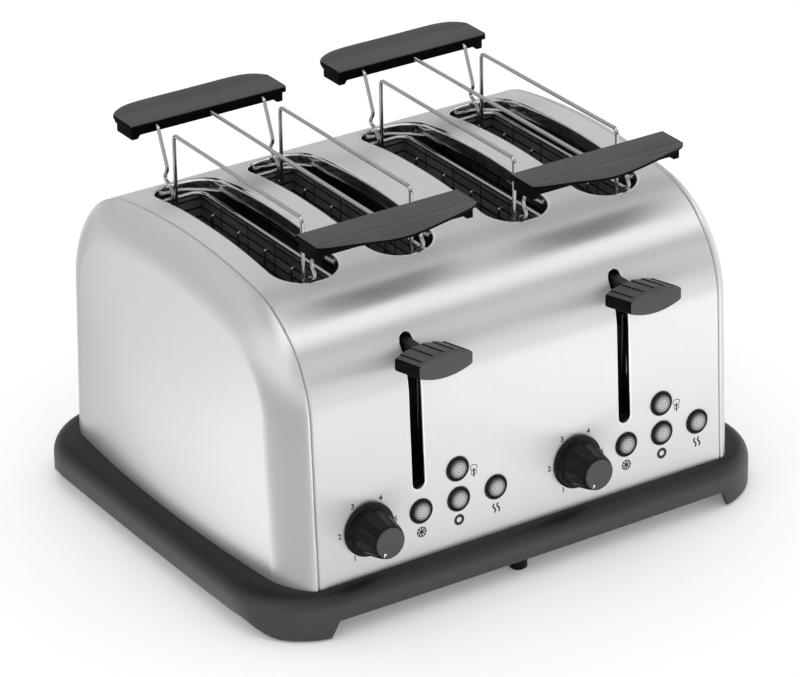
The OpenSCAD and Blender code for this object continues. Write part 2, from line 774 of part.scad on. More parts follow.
module magnet(h) {
    top = lift_z - lever_travel - magnet_gap - floor_z;
    color(copper) placed() translate([h * half_x - rod_x, rod_y, floor_z]) {
        translate([-magnet_w / 2, -magnet_d / 2, 0]) cube([magnet_w, magnet_d, magnet_yoke]);
        for (s = [-1, 1]) translate([s * magnet_w / 4, 0, 0]) {
            cylinder(d = magnet_coil, h = top - magnet_yoke);
            cylinder(d = magnet_core, h = top);
        }
    }
}

rib_count = 5;
rib_w = 0.9;
rib_h = 0.7;
rib_end = 6.4;

module lever_knob(h) {
    end_drop = (lever_h - lever_end_h) / 2;
    lens_r = (pow(lever_w / 2, 2) + pow(end_drop, 2)) / (2 * end_drop);
    rib_pitch = lever_w / (rib_count + 1);
    color(satin_black) placed() translate([h * half_x, lever_front_y, lever_z]) difference() {
        rotate([-90, 0, 0]) linear_extrude(lever_len) intersection() {
            square([lever_w, lever_h], center = true);
            translate([0, lens_r - lever_h / 2]) circle(lens_r, $fn = 120);
            translate([0, lever_h / 2 - lens_r]) circle(lens_r, $fn = 120);
        }
        // Grooves across the thumb face
        for (i = [1:rib_count])
            let (x = -lever_w / 2 + rib_pitch * i,
                top = lever_h / 2 - lens_r + sqrt(pow(lens_r, 2) - pow(x, 2)))
                translate([x - rib_w / 2, rib_end, top - rib_h]) cube([rib_w, lever_len, 2 * rib_h]);
        // Socket for the arm
        translate([-arm_w / 2 - shaft_gap, lever_socket, -arm_drop - arm_h / 2 - shaft_gap])
            cube([arm_w + 2 * shaft_gap, lever_len, arm_h + 2 * shaft_gap]);
    }
}

// Controls

control_margin = 4;
switch_w = 6;
switch_h = 2.6;
timer_d = 17;
timer_h = 8.6;
timer_floor = 1;

module control_board(h) {
    x = h * half_x;
    back = control_depth + control_t;
    low = (control_z - floor_z - back * sin(wall_lean)) / cos(wall_lean) - run_gap;
    bun_x = button_dx + button_pitch;
    start = -dial_dx - timer_d / 2 - control_margin;
    end = button_dx + 2 * button_pitch + bezel_d / 2 + control_margin;
    color(board) placed() on_front(x, control_z) translate([0, 0, -back]) {
        translate([start, -low, 0]) cube([end - start, low + control_edge, control_t]);
        translate([bun_x - control_edge, control_edge - lap, 0])
            cube([2 * control_edge, button_rise, control_t]);
        for (b = button_places()) translate([b[0], b[1] / cos(wall_lean), control_t - lap])
            translate([-switch_w / 2, -switch_w / 2, 0]) cube([switch_w, switch_w, switch_h + lap]);
    }
}

module timers() {
    color(zinc) placed() for (h = [left, right]) on_front(h * half_x - dial_dx, control_z)
        translate([0, 0, -control_depth]) difference() {
            cylinder(d = timer_d, h = timer_h);
            translate([0, 0, timer_floor]) cylinder(d = shaft_d + 2 * shaft_gap, h = timer_h);
        }
}

dial_lift = 0.5;
dial_skirt_h = 3;
dial_skirt_edge = 1;
dial_step = 2.5;
dial_taper = 3.3;
dial_base_d = dial_d - 2 * dial_step;
dial_tip_d = dial_base_d - 2 * dial_taper;
dial_bore = 13;
flute_w = 1.4;
flute_depth = 0.9;
flute_low = 0.4;

module dial_shaft(h) {
    low = control_depth - timer_floor - run_gap;
    color(zinc) placed() on_front(h * half_x - dial_dx, control_z) translate([0, 0, -low])
        cylinder(d = shaft_d, h = low + dial_lift + dial_bore);
}

module dial(h) {
    rim_h = dial_skirt_h - dial_skirt_edge;
    grip_h = dial_len - dial_skirt_h;
    color(satin_black) placed() on_front(h * half_x - dial_dx, control_z)
        translate([0, 0, dial_lift]) difference() {
        union() {
            cylinder(d = dial_d, h = rim_h);
            translate([0, 0, rim_h])
                cylinder(d1 = dial_d, d2 = dial_d - 2 * dial_skirt_edge, h = dial_skirt_edge);
            translate([0, 0, dial_skirt_h - lap])
                cylinder(d1 = dial_base_d, d2 = dial_tip_d, h = grip_h + lap);
        }
        for (k = [0:dial_flutes - 1]) rotate([0, 0, 360 * (k + 0.5) / dial_flutes])
            translate([0, 0, dial_skirt_h]) rotate([0, -atan(dial_taper / grip_h), 0])
                translate([dial_base_d / 2 - flute_depth, -flute_w / 2, flute_low])
                    cube([2 * flute_depth, flute_w, dial_len]);
        translate([0, 0, -lap]) cylinder(d = shaft_d + 2 * shaft_gap, h = dial_bore + lap);
    }
}

bezel_lip = 0.9;
bezel_body = 5;
bezel_gap = 0.2;
seat_lift = 0.05;

module bezels(h) {
    long = bezel_body + bezel_lip;
    color(dark) placed() for (b = button_places())
        on_front(h * half_x + b[0], control_z + b[1]) difference() {
        union() {
            translate([0, 0, seat_lift]) cylinder(d = bezel_d, h = bezel_lip);
            translate([0, 0, -bezel_body]) cylinder(d = bezel_hole_d - 2 * bezel_gap, h = long);
        }
        translate([0, 0, -bezel_body - lap]) cylinder(d = button_d + 2 * bezel_gap, h = long + 2 * lap);
    }
}

button_len = 7;
button_proud = 0.7;
button_edge = [0.8, 1.4];
button_ring_depth = 0.4;
// Outer and inner rims of the ring moulded in a lens
button_ring = [2.9, 1.5];

module button(h, b) {
    r = button_d / 2;
    low = button_len - button_ring_depth;
    color(lens_grey) placed() on_front(h * half_x + b[0], control_z + b[1])
        translate([0, 0, button_proud - button_len]) rotate_extrude() polygon([
            [0, 0], [r, 0], [r, button_len - button_edge[1]], [r - button_edge[0], low],
            [button_ring[0] + lap, button_len], [button_ring[0], low],
            [button_ring[1], low], [button_ring[1] - lap, button_len], [0, button_len]]);
}

// Mains entry

block_side_gap = 2;
// The block stands between the two trays
block_w = half_pitch - tray_w - 2 * block_side_gap;
block_d = 14;
// The block stays below the gland
block_h = gland_z - gland_hole_d / 2 - floor_z - run_gap;
block_holes = 3;
block_web = 3;
block_hole_d = block_w / block_holes - block_web;
block_gap = 12;

module terminal_block() {
    color(satin_black) placed() translate([gland_x - block_w / 2,
        bulkhead_y + block_gap, floor_z]) difference() {
        cube([block_w, block_d, block_h]);
        for (i = [1:block_holes]) translate([block_w * (i - 0.5) / block_holes, block_d / 2, block_h / 2])
            cylinder(d = block_hole_d, h = block_h);
    }
}

gland_bore_d = 7.6;
gland_lip_d = 19;
gland_lip = 3;
gland_body = 8;

module cord_gland() {
    long = gland_body + gland_lip;
    color(satin_black) placed() translate([gland_x, -wall_y(gland_z), gland_z])
        rotate([-90 + wall_lean, 0, 0])
        difference() {
            union() {
                translate([0, 0, seat_lift]) cylinder(d = gland_lip_d, h = gland_lip);
                translate([0, 0, -gland_body]) cylinder(d = gland_hole_d - 4 * bezel_gap, h = long);
            }
            translate([0, 0, -gland_body - lap]) cylinder(d = gland_bore_d, h = long + 2 * lap);
        }
}

// Bun racks

rim_y = slot_len / 2;
rim_top = top_at(rim_y);
leg_drop = 4.5;
leg_bottom = cage_top - leg_drop;
leg_slack = 0.6;
leg_spread = rack_wire + leg_slack;
knee_rise = 2;
// The wire steps over the slot's rim on a slope, just clear of it
seat_a = 23;
seat_gap = 0.4;
seat_in = 1.6;
seat_out = 4.6;
kink_back = 0.5;
kink_rise = 9.4;
seat_mid = [rim_y, rim_top] + (rack_wire / 2 + seat_gap) * [-sin(seat_a), cos(seat_a)];
kink_in = seat_mid - seat_in * [cos(seat_a), sin(seat_a)];
kink_out = seat_mid + seat_out * [cos(seat_a), sin(seat_a)];
kink_top = [rim_y - kink_back, rim_top + kink_rise];
rack_sides = 8;
rack_bend_steps = 4;
handle_wire_drop = 2.6;
rail_drop = 1;
leg_z = rack_z - rail_drop;
socket_depth = 6;
socket_y = handle_y + socket_depth;
neck_gap = 2;

// One leg from the handle over the slot's rim, round the turn and up to the rail, at the front
leg_points = [
    [socket_y, leg_z], [handle_y - neck_gap, leg_z], kink_top, kink_out, kink_in,
    [rack_leg_y + leg_spread + leg_slack, cage_top + rim_wire + knee_rise],
    [rack_leg_y + leg_spread, leg_bottom], [rack_leg_y, leg_bottom], [rack_leg_y, rack_z]
];
// The two bends of the turn almost meet
turn_r = 0.99 * leg_spread / 2;
leg_radii = [3, 2.4, 2, 1.6, 2, turn_r, turn_r, 3];
function reversed(l) = [for (i = [len(l) - 1:-1:0]) l[i]];
function side_wire(x) = concat(
    [for (p = leg_points) [x, -p[0], p[1]]],
    [for (p = reversed(leg_points)) [x, p[0], p[1]]]
);

module rack(h) {
    radii = concat(leg_radii, reversed(leg_radii));
    middle = [[0, -socket_y, leg_z], [0, 0, leg_z], [0, socket_y, leg_z]];
    color(bright) placed() translate([h * half_x, 0, 0]) {
        tube(middle, rack_wire, rack_sides, [1, 0, 0]);
        for (s = [-1, 1]) tube(bent_path(side_wire(s * rack_span / 2), radii, rack_bend_steps),
            rack_wire, rack_sides, [1, 0, 0]);
    }
}

handle_top = rack_z + handle_wire_drop;
// The crease between flat top and roll runs close to the outer corners
roll_start = 1;
handle_flat = handle_end - roll_start;
roll_r = 7.6;
roll_rise = 1.2;
roll_y = handle_flat + sqrt(pow(roll_r, 2) - pow(roll_r - roll_rise, 2));
plate_h = 3.6;
handle_inset = 1.4;
// The lower box stands on two short feet with a raised edge between them
handle_foot = 6.5;
handle_notch = 2;

module handle_plan(inset) {
    w = handle_len / 2;
    s = handle_mid - handle_end;
    r = (pow(w, 2) + pow(s, 2)) / (2 * s);
    intersection() {
        translate([-w + inset, inset]) square([2 * (w - inset), handle_mid - 2 * inset]);
        translate([0, handle_mid - r]) circle(r - inset, $fn = 160);
    }
}

module handle() {
    difference() {
        union() {
            // Flat top and lower box
            translate([0, 0, -plate_h]) linear_extrude(plate_h) intersection() {
                handle_plan(0);
                translate([-handle_len, 0]) square([2 * handle_len, handle_flat + lap]);
            }
            translate([0, 0, -handle_h]) linear_extrude(handle_h - plate_h + lap) intersection() {
                handle_plan(handle_inset);
                translate([-handle_len, 0]) square([2 * handle_len, handle_flat]);
            }
            // Rounded grip along the outer edge
            intersection() {
                translate([0, 0, -plate_h]) linear_extrude(plate_h + roll_rise) handle_plan(0);
                translate([0, roll_y, roll_rise - roll_r]) rotate([0, 90, 0])
                    cylinder(r = roll_r, h = 2 * handle_len, center = true);
            }
        }
        translate([handle_foot - handle_len / 2, -lap, -handle_h - lap])
            cube([handle_len - 2 * handle_foot, handle_mid, handle_notch + lap]);
        // Sockets for the wires
        for (x = [-1, 0, 1]) translate([x * rack_span / 2, -lap, leg_z - handle_top]) rotate([-90, 0, 0])
            cylinder(d = rack_wire + 2 * shaft_gap, h = socket_depth + lap);
    }
}

module rack_handles(h) {
    color(satin_black) placed() for (s = [0, 180]) translate([h * half_x, 0, handle_top]) rotate([0, 0, s])
        translate([0, handle_y, 0]) handle();
}

// Crumb trays

tray_wall = 0.8;
tray_front_t = 2;
tray_front_lap = 3;
tray_front_rise = 4;
tray_pull_w = 40;
tray_pull_t = 1.6;
tray_pull_len = tray_pull_reach - 2 * run_gap;

module crumb_tray(h) {
    front = -bulkhead_y + run_gap;
    back = -wall_y(floor_z) + run_gap;
    color(zinc) placed() translate([h * half_x - tray_w / 2, 0, floor_z + tray_gap]) difference() {
        union() {
            translate([0, front, 0]) cube([tray_w, back - front + lap, tray_h]);
            translate([-tray_front_lap, back, 0])
                cube([tray_w + 2 * tray_front_lap, tray_front_t, tray_h + tray_front_rise]);
            translate([(tray_w - tray_pull_w) / 2, back, 0]) cube([tray_pull_w, tray_pull_len, tray_pull_t]);
        }
        translate([tray_wall, front + tray_wall, tray_wall])
            cube([tray_w - 2 * tray_wall, back - front - 2 * tray_wall, tray_h]);
    }
}

// One module for each numbered or handed piece

module bread_cage_1() { bread_cage(0); }
module bread_cage_2() { bread_cage(1); }
module bread_cage_3() { bread_cage(2); }
module bread_cage_4() { bread_cage(3); }
module heater_board_1() { heater_board(0); }
module heater_board_2() { heater_board(1); }
module heater_board_3() { heater_board(2); }
module heater_board_4() { heater_board(3); }
module heater_board_5() { heater_board(4); }
module heater_board_6() { heater_board(5); }
module left_lift_spring() { lift_spring(left); }
module right_lift_spring() { lift_spring(right); }
module left_magnet() { magnet(left); }
module right_magnet() { magnet(right); }
module left_control_board() { control_board(left); }
module right_control_board() { control_board(right); }
module left_bezels() { bezels(left); }
module right_bezels() { bezels(right); }
module left_lever_knob() { lever_knob(left); }
module right_lever_knob() { lever_knob(right); }
module left_carriage() { carriage(left); }
module right_carriage() { carriage(right); }
module bread_lift_1() { bread_lift(0); }
module bread_lift_2() { bread_lift(1); }
module bread_lift_3() { bread_lift(2); }
module bread_lift_4() { bread_lift(3); }
module left_dial() { dial(left); }
module right_dial() { dial(right); }
module left_dial_shaft() { dial_shaft(left); }
module right_dial_shaft() { dial_shaft(right); }
module left_thaw_button() { button(left, button_places()[0]); }
module left_stop_button() { button(left, button_places()[1]); }
module left_warm_button() { button(left, button_places()[2]); }
module left_bun_button() { button(left, button_places()[3]); }
module right_thaw_button() { button(right, button_places()[0]); }
module right_stop_button() { button(right, button_places()[1]); }
module right_warm_button() { button(right, button_places()[2]); }
module right_bun_button() { button(right, button_places()[3]); }
module left_rack() { rack(left); }
module right_rack() { rack(right); }
module left_rack_handles() { rack_handles(left); }
module right_rack_handles() { rack_handles(right); }
module left_crumb_tray() { crumb_tray(left); }
module right_crumb_tray() { crumb_tray(right); }

base_plinth();
bottom_plate();
rubber_feet();
wrap_pegs();
base_screws();
chassis_floor();
front_bulkhead();
rear_bulkhead();
wrap_cover();
left_end_cap();
right_end_cap();
bread_cage_1();
bread_cage_2();
bread_cage_3();
bread_cage_4();
cage_rims();
heater_board_1();
heater_board_2();
heater_board_3();
heater_board_4();
heater_board_5();
heater_board_6();
guide_rods();
left_lift_spring();
right_lift_spring();
left_magnet();
right_magnet();
left_control_board();
right_control_board();
timers();
left_bezels();
right_bezels();
terminal_block();
cord_gland();
left_lever_knob();
right_lever_knob();
left_carriage();
right_carriage();
bread_lift_1();
bread_lift_2();
bread_lift_3();
bread_lift_4();
left_dial();
right_dial();
left_dial_shaft();
right_dial_shaft();
left_thaw_button();
left_stop_button();
left_warm_button();
left_bun_button();
right_thaw_button();
right_stop_button();
right_warm_button();
right_bun_button();
left_rack();
right_rack();
left_rack_handles();
right_rack_handles();
left_crumb_tray();
right_crumb_tray();
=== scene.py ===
"""Looks for the four-slot toaster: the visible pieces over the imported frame, a stage and a camera.

Each operator builds one piece or a group of like pieces, in metres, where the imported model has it.
"""

from collections import namedtuple
from math import acos, asin, atan2, ceil, cos, exp, hypot, pi, radians, sin, sqrt, tan

import bmesh
import bpy
from bpy.props import FloatProperty, FloatVectorProperty, IntProperty, PointerProperty
from mathutils import Matrix, Vector
from mathutils.geometry import delaunay_2d_cdt


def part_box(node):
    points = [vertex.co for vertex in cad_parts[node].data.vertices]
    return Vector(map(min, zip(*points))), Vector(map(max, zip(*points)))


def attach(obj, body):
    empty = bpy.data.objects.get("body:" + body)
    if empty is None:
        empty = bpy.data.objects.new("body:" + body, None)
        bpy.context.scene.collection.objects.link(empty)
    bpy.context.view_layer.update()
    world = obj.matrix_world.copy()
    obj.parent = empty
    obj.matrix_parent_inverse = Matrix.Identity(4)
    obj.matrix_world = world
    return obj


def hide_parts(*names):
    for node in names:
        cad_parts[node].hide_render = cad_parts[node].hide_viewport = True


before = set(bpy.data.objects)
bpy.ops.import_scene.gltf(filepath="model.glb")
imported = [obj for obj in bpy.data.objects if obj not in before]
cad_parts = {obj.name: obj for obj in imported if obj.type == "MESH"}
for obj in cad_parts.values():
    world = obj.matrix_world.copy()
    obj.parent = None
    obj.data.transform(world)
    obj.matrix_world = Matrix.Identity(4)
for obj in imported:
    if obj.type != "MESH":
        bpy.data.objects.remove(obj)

bl_info = {
    "name": "Toaster looks",
    "version": (1, 0, 0),
    "blender": (4, 5, 0),
    "location": "3D View > Sidebar > Toaster",
    "description": "Builds the visible pieces of a four-slot toaster over its packed model",
    "category": "Object",
}

MM = 0.001
UP = Vector((0, 0, 1))
SIDES = {"left": -1, "right": 1}
BUTTONS = ("thaw", "stop", "warm", "bun")
SLOT_COUNT = 4
HEATER_COUNT = 6
# Most of a noise lies between these two values
NOISE_LOW = 0.3
NOISE_HIGH = 0.7
# Degrees from a dial's right side to its first number, where the pointer rests, and between numbers
FIRST_NUMBER = 240
NUMBER_STEP = 60
NUMBER_COUNT = 6


def linear(code):
    """An sRGB hex colour as linear red, green and blue."""
    parts = [int(code[i:i + 2], 16) / 255 for i in (1, 3, 5)]
    return tuple(v / 12.92 if v <= 0.04045 else ((v + 0.055) / 1.055) ** 2.4 for v in parts)


def rgba(colour):
    """A colour with full opacity, as a shader socket takes it."""
    return (*colour, 1.0)


def size(label, millimetres, about):
    """A length that the user can change, given in millimetres."""
    return FloatProperty(
        name=label, description=about, default=millimetres * MM, min=0.0, precision=5, unit="LENGTH")


def angle(label, value, about):
    """An angle that the user can change, given in degrees."""
    return FloatProperty(name=label, description=about, default=radians(value), subtype="ANGLE")


def colour(label, code, about):
    """A colour that the user can change, given as an sRGB hex code."""
    return FloatVectorProperty(
        name=label, description=about, default=linear(code), min=0.0, max=1.0, subtype="COLOR")


class ShellSizes(bpy.types.PropertyGroup):
    """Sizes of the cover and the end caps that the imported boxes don't give."""

    lean: angle("Wall lean", 2.7, "Lean of the front and back walls")
    shoulder: size("Shoulder radius", 61, "Radius between wall and crown")
    crown: size("Crown radius", 400, "Radius of the crown across the depth")
    sheet: size("Sheet", 0.8, "Thickness of the cover's sheet")
    seam_roll: size("Seam roll", 0.9, "Radius of the cover's turned-in side edge")
    slot_width: size("Slot width", 38.6, "Width of a bread slot")
    slot_length: size("Slot length", 146, "Length of a bread slot")
    slot_corner: size("Slot corner", 17, "Corner radius of a bread slot")
    slot_roll: size("Slot roll", 1.8, "Radius of the rolled edge round a bread slot")
    slot_flange: size("Slot flange", 8, "Depth of the flange round a bread slot")
    lever_slot: size("Lever slot", 7.2, "Width of a lever slot")
    lever_low: size("Lever slot foot", 65, "Height of the lower end of a lever slot")
    lever_high: size("Lever slot top", 150.8, "Height of the upper end of a lever slot")
    lever_roll: size("Lever slot roll", 0.8, "Radius of the rolled edge round a lever slot")
    lever_flange: size("Lever slot flange", 2.6, "Depth of the flange round a lever slot")
    cap_bead: size("Cap bead", 1.3, "Radius of the bead along an end cap's seam")
    cap_depth: size("Cap depth", 15.5, "How far an end cap's rounded edge stands out")
    cap_run: size("Cap run", 24, "Run of that rounded edge over the end face")
    cap_bow: size("Cap bow", 5, "Bow of the end face beyond the rounded edge")
    cap_flatness: FloatProperty(
        name="Cap flatness", description="1 for a round edge, more for a flatter one",
        default=1.45, min=1, max=2)


class PlinthSizes(bpy.types.PropertyGroup):
    """Sizes of the plinth that its packed box doesn't give."""

    corner: size("Corner radius", 44, "Corner radius in plan")
    bow: size("Side bow", 1.5, "Outward bow of the sides, included in the size")
    edge: size("Top edge", 10.5, "Radius of the top edge")
    skirt: size("Skirt height", 10, "Height of the lower edge between the feet in front")
    side_skirt: size("Side skirt height", 8.5, "Height of the lower edge between the feet at the sides")
    foot: size("Foot length", 36, "Length of a corner foot along the front")
    foot_step: size("Foot step", 5, "Run of the step from skirt to foot")
    side_foot: size("Side foot length", 14, "Length of a corner foot along the side")
    side_step: size("Side foot step", 26, "Run of the slope from side skirt to foot")
    ledge: size("Ledge width", 22, "Width of the ledge, from the outside in")
    wall: size("Wall", 4, "Wall of the plinth")


class ControlSizes(bpy.types.PropertyGroup):
    """Sizes of the levers, dials, buttons and prints."""

    lever_end: size("Lever end height", 6.6, "Height of a lever knob at its ends")
    lever_tilt: angle("Lever tilt", 10.8, "How far a lever knob falls towards the wall")
    tooth_rise: size("Tooth rise", 0.55, "Height of the teeth on a lever knob")
    tooth_end: size("Tooth end", 2.4, "Distance of the teeth from a lever knob's front")
    dial: size("Dial", 30, "Diameter of a dial's skirt")
    dial_length: size("Dial length", 21, "Length of a dial")
    flutes: IntProperty(name="Flutes", description="Number of flutes round a dial", default=12, min=3)
    control_z: size("Control height", 52.2, "Height of the dials and the lower row of buttons")
    button: size("Button", 11, "Diameter of a button's lens")
    bezel: size("Bezel", 14.2, "Diameter of a button's bezel")
    number_ring: size("Number ring", 17.2, "Distance of the numbers from a dial's middle")
    number_height: size("Number height", 3.1, "Height of the numbers round a dial")
    icon: size("Icon", 6.2, "Width of an icon beside a button")
    icon_drop: size("Icon drop", 12.2, "Distance of an icon below its button")


class RackSizes(bpy.types.PropertyGroup):
    """Sizes of the bun racks and of the wire in the bread slots."""

    wire: size("Wire", 2.2, "Wire of a rack")
    span: size("Span", 66.8, "Distance between a rack's side wires")
    rail: size("Rail height", 208, "Height of a rack's rails")
    leg_inset: size("Leg inset", 8.5, "Distance of a straight leg inside the end of its slot")
    handle_gap: size("Handle gap", 10.5, "Distance of a handle past the end of its slot")
    handle_length: size("Handle length", 98, "Length of a handle")
    handle_end: size("Handle end", 18.6, "Depth of a handle at its ends")
    handle_middle: size("Handle middle", 28, "Depth of a handle at its middle")
    handle_height: size("Handle height", 9.2, "Height of a handle's side")
    rim: size("Rim wire", 2.4, "Wire of a cage rim")
    guard: size("Guard wire", 1.3, "Wire that keeps the bread off the cage")


class Colours(bpy.types.PropertyGroup):
    """Colours of the materials."""

    steel: colour("Steel", "#f6f6f5", "Brushed steel of the cover")
    cap: colour("Caps", "#e2e2e1", "Satin steel of the end caps")
    wire: colour("Wire", "#c2c2c0", "Bright wire of the racks and rims")
    # The plinth's flank grey is partly the grain and partly painted reflection of the pale floor
    plinth: colour("Plinth", "#454545", "Grained black plastic of the plinth's flanks")
    # The grips' grey is partly grain and partly painted light, given to tops and faces beside black sides
    # of the same plastic
    grip: colour("Grips", "#474747", "Grained dark plastic of handles and levers")
    dial: colour("Dials", "#040404", "Smooth black plastic of dials and bezels")
    lens: colour("Lenses", "#c8c8c5", "Grey acrylic of the buttons")
    cage: colour("Cages", "#85827f", "Heat-toned sheet of the bread cages")
    ink: colour("Ink", "#1e1e1e", "Printed numbers and icons")


# Mesh helpers


def grid_faces(rows, columns, close_rows=False, close_columns=False):
    """Quads over rows of points, each row with the same number of columns."""
    faces = []
    for i in range(rows if close_rows else rows - 1):
        for j in range(columns if close_columns else columns - 1):
            k = (i + 1) % rows
            m = (j + 1) % columns
            faces.append((i * columns + j, i * columns + m, k * columns + m, k * columns + j))
    return faces


def spread(first, last, count):
    """Evenly spaced values with both ends included."""
    return [first + (last - first) * i / (count - 1) for i in range(count)]


def smooth_step(first, last, value):
    """Rises smoothly from 0 at first to 1 at last."""
    share = min(1.0, max(0.0, (value - first) / (last - first)))
    return share * share * (3 - 2 * share)


def quarter(radius, count):
    """A quarter turn round an edge: each step's distance from the one face and from the other."""
    return [(radius * (1 - sin(t)), radius * (1 - cos(t))) for t in spread(0, pi / 2, count)]


def directions(path, closed=False):
    """Unit direction of a path at each of its points."""
    count = len(path)
    found = []
    for i in range(count):
        before = path[(i - 1) % count] if closed else path[max(i - 1, 0)]
        after = path[(i + 1) % count] if closed else path[min(i + 1, count - 1)]
        found.append((after - before).normalized())
    return found


def rounded(across, along, radius, arc_steps, straight_steps):
    """Points round a rectangle with round corners; across and along reach to the corners' centres."""
    points = []
    for k, (a, b) in enumerate(((1, 1), (-1, 1), (-1, -1), (1, -1))):
        for i in range(arc_steps + 1):
            turn = pi / 2 * (k + i / arc_steps)
            points.append((a * across + radius * cos(turn), b * along + radius * sin(turn)))
        ax, ay = points[-1]
        bx, by = (-ax, ay) if k % 2 == 0 else (ax, -ay)
        steps = straight_steps[k % 2]
        points.extend((ax + (bx - ax) * i / steps, ay + (by - ay) * i / steps) for i in range(1, steps))
    return points


def bent(corners, radii, steps=8):
    """A path through corner points, each rounded to its bend radius."""
    path = [corners[0]]
    for a, b, c, radius in zip(corners, corners[1:], corners[2:], radii):
        u = (a - b).normalized()
        v = (c - b).normalized()
        half = acos(max(-1.0, min(1.0, u.dot(v)))) / 2
        middle = b + (u + v).normalized() * radius / sin(half)
        p = b + u * radius / tan(half) - middle
        q = b + v * radius / tan(half) - middle
        turn = pi - 2 * half
        for i in range(steps + 1):
            share = i / steps
            path.append(middle + (p * sin(turn * (1 - share)) + q * sin(turn * share)) / sin(turn))
    path.append(corners[-1])
    return path


class Form:
    """Points and faces of a piece, gathered before it becomes an object."""

    def __init__(self):
        self.points = []
        self.faces = []
        self.flat = []

    def add(self, points, faces, flat=None):
        """Adds an island; flat holds its sheet coordinates in metres, one pair for each point."""
        start = len(self.points)
        self.points.extend(Vector(p) for p in points)
        self.faces.extend(tuple(start + i for i in face) for face in faces)
        self.flat.extend(flat or [(0.0, 0.0)] * len(points))

    def loft(self, rings, closed=False):
        """Adds a skin over closed rings, with a face over each end unless the last ring meets the first."""
        rows = len(rings)
        count = len(rings[0])
        faces = grid_faces(rows, count, closed, True)
        if not closed:
            faces.append(tuple(range(count - 1, -1, -1)))
            faces.append(tuple(range((rows - 1) * count, rows * count)))
        self.add([p for ring in rings for p in ring], faces)

    def tube(self, path, radius, sides=14, closed=False):
        """Adds a round wire along a path."""
        turns = [2 * pi * k / sides for k in range(sides)]
        normal = None
        rings = []
        for point, along in zip(path, directions(path, closed)):
            if normal is None:
                normal = along.orthogonal()
            normal = (normal - along * normal.dot(along)).normalized()
            across = along.cross(normal)
            rings.append([point + radius * (cos(t) * normal + sin(t) * across) for t in turns])
        self.loft(rings, closed)

    def revolve(self, profile, steps, radius_at=None):
        """Adds a round form about the local Z axis from (radius, height) pairs, first to last."""
        rings = []
        for radius, height in profile:
            ring = []
            for k in range(steps):
                turn = 2 * pi * k / steps
                here = radius_at(turn, radius, height) if radius_at else radius
                ring.append((here * cos(turn), here * sin(turn), height))
            rings.append(ring)
        self.loft(rings)

    def prism(self, outline, place, thickness_axis):
        """Adds a solid from a flat outline: place turns each (a, b) into a point of the near face."""
        near = [place(a, b) for a, b in outline]
        far = [p + thickness_axis for p in near]
        self.loft([near, far])

    def object(self, name, bevel=None, crease=radians(35), sheet=None, outward=None):
        """Makes the object: welded, faces turned outward, optional bevel and sheet thickness."""
        weld = 0.002 * MM
        mesh = bpy.data.meshes.new(name)
        shape = bmesh.new()
        u_layer = shape.verts.layers.float.new("flat_u")
        v_layer = shape.verts.layers.float.new("flat_v")
        for point, (u, v) in zip(self.points, self.flat):
            corner = shape.verts.new(point)
            corner[u_layer] = u
            corner[v_layer] = v
        shape.verts.ensure_lookup_table()
        for face in self.faces:
            shape.faces.new([shape.verts[i] for i in face])
        bmesh.ops.remove_doubles(shape, verts=shape.verts, dist=weld)
        bmesh.ops.recalc_face_normals(shape, faces=shape.faces)
        if outward and sum(f.normal.dot(outward(f.calc_center_median())) for f in shape.faces) < 0:
            bmesh.ops.reverse_faces(shape, faces=shape.faces)
        if bevel:
            width, limit = bevel
            sharp = [
                e for e in shape.edges if len(e.link_faces) == 2 and e.calc_face_angle() > limit]
            bmesh.ops.bevel(
                shape, geom=sharp, offset=width, segments=3, profile=0.5, affect="EDGES",
                clamp_overlap=True)
        pattern = shape.loops.layers.uv.new("sheet")
        for face in shape.faces:
            face.smooth = True
            for corner in face.loops:
                corner[pattern].uv = (corner.vert[u_layer], corner.vert[v_layer])
        shape.to_mesh(mesh)
        shape.free()
        for layer in ("flat_u", "flat_v"):
            mesh.attributes.remove(mesh.attributes[layer])
        thing = bpy.data.objects.new(name, mesh)
        bpy.context.scene.collection.objects.link(thing)
        if sheet:
            solid = thing.modifiers.new("sheet", "SOLIDIFY")
            solid.thickness = sheet
            solid.offset = -1
            bpy.context.view_layer.update()
            shown = thing.evaluated_get(bpy.context.evaluated_depsgraph_get())
            thing.modifiers.clear()
            thing.data = bpy.data.meshes.new_from_object(shown)
            thing.data.name = name
        thing.data.set_sharp_from_angle(angle=crease)
        return thing

    def piece(self, name, key, body, slot, *replaced, place=None, **shape):
        """Makes the object with its finish, its body and the nodes that it stands for; its record slot is
        not used.
        """
        thing = self.object(name, **shape)
        if place is not None:
            thing.matrix_world = place
        thing.data.materials.append(finish(key))
        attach(thing, body)
        if replaced:
            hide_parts(*replaced)
        return thing


def second_finish(thing, key, chosen):
    """Gives the faces that a test picks a second finish."""
    thing.data.materials.append(finish(key))
    for face in thing.data.polygons:
        if chosen(face):
            face.material_index = 1


# Form of the shell

Hole = namedtuple("Hole", "x s half_width half_length corner roll depth upright")


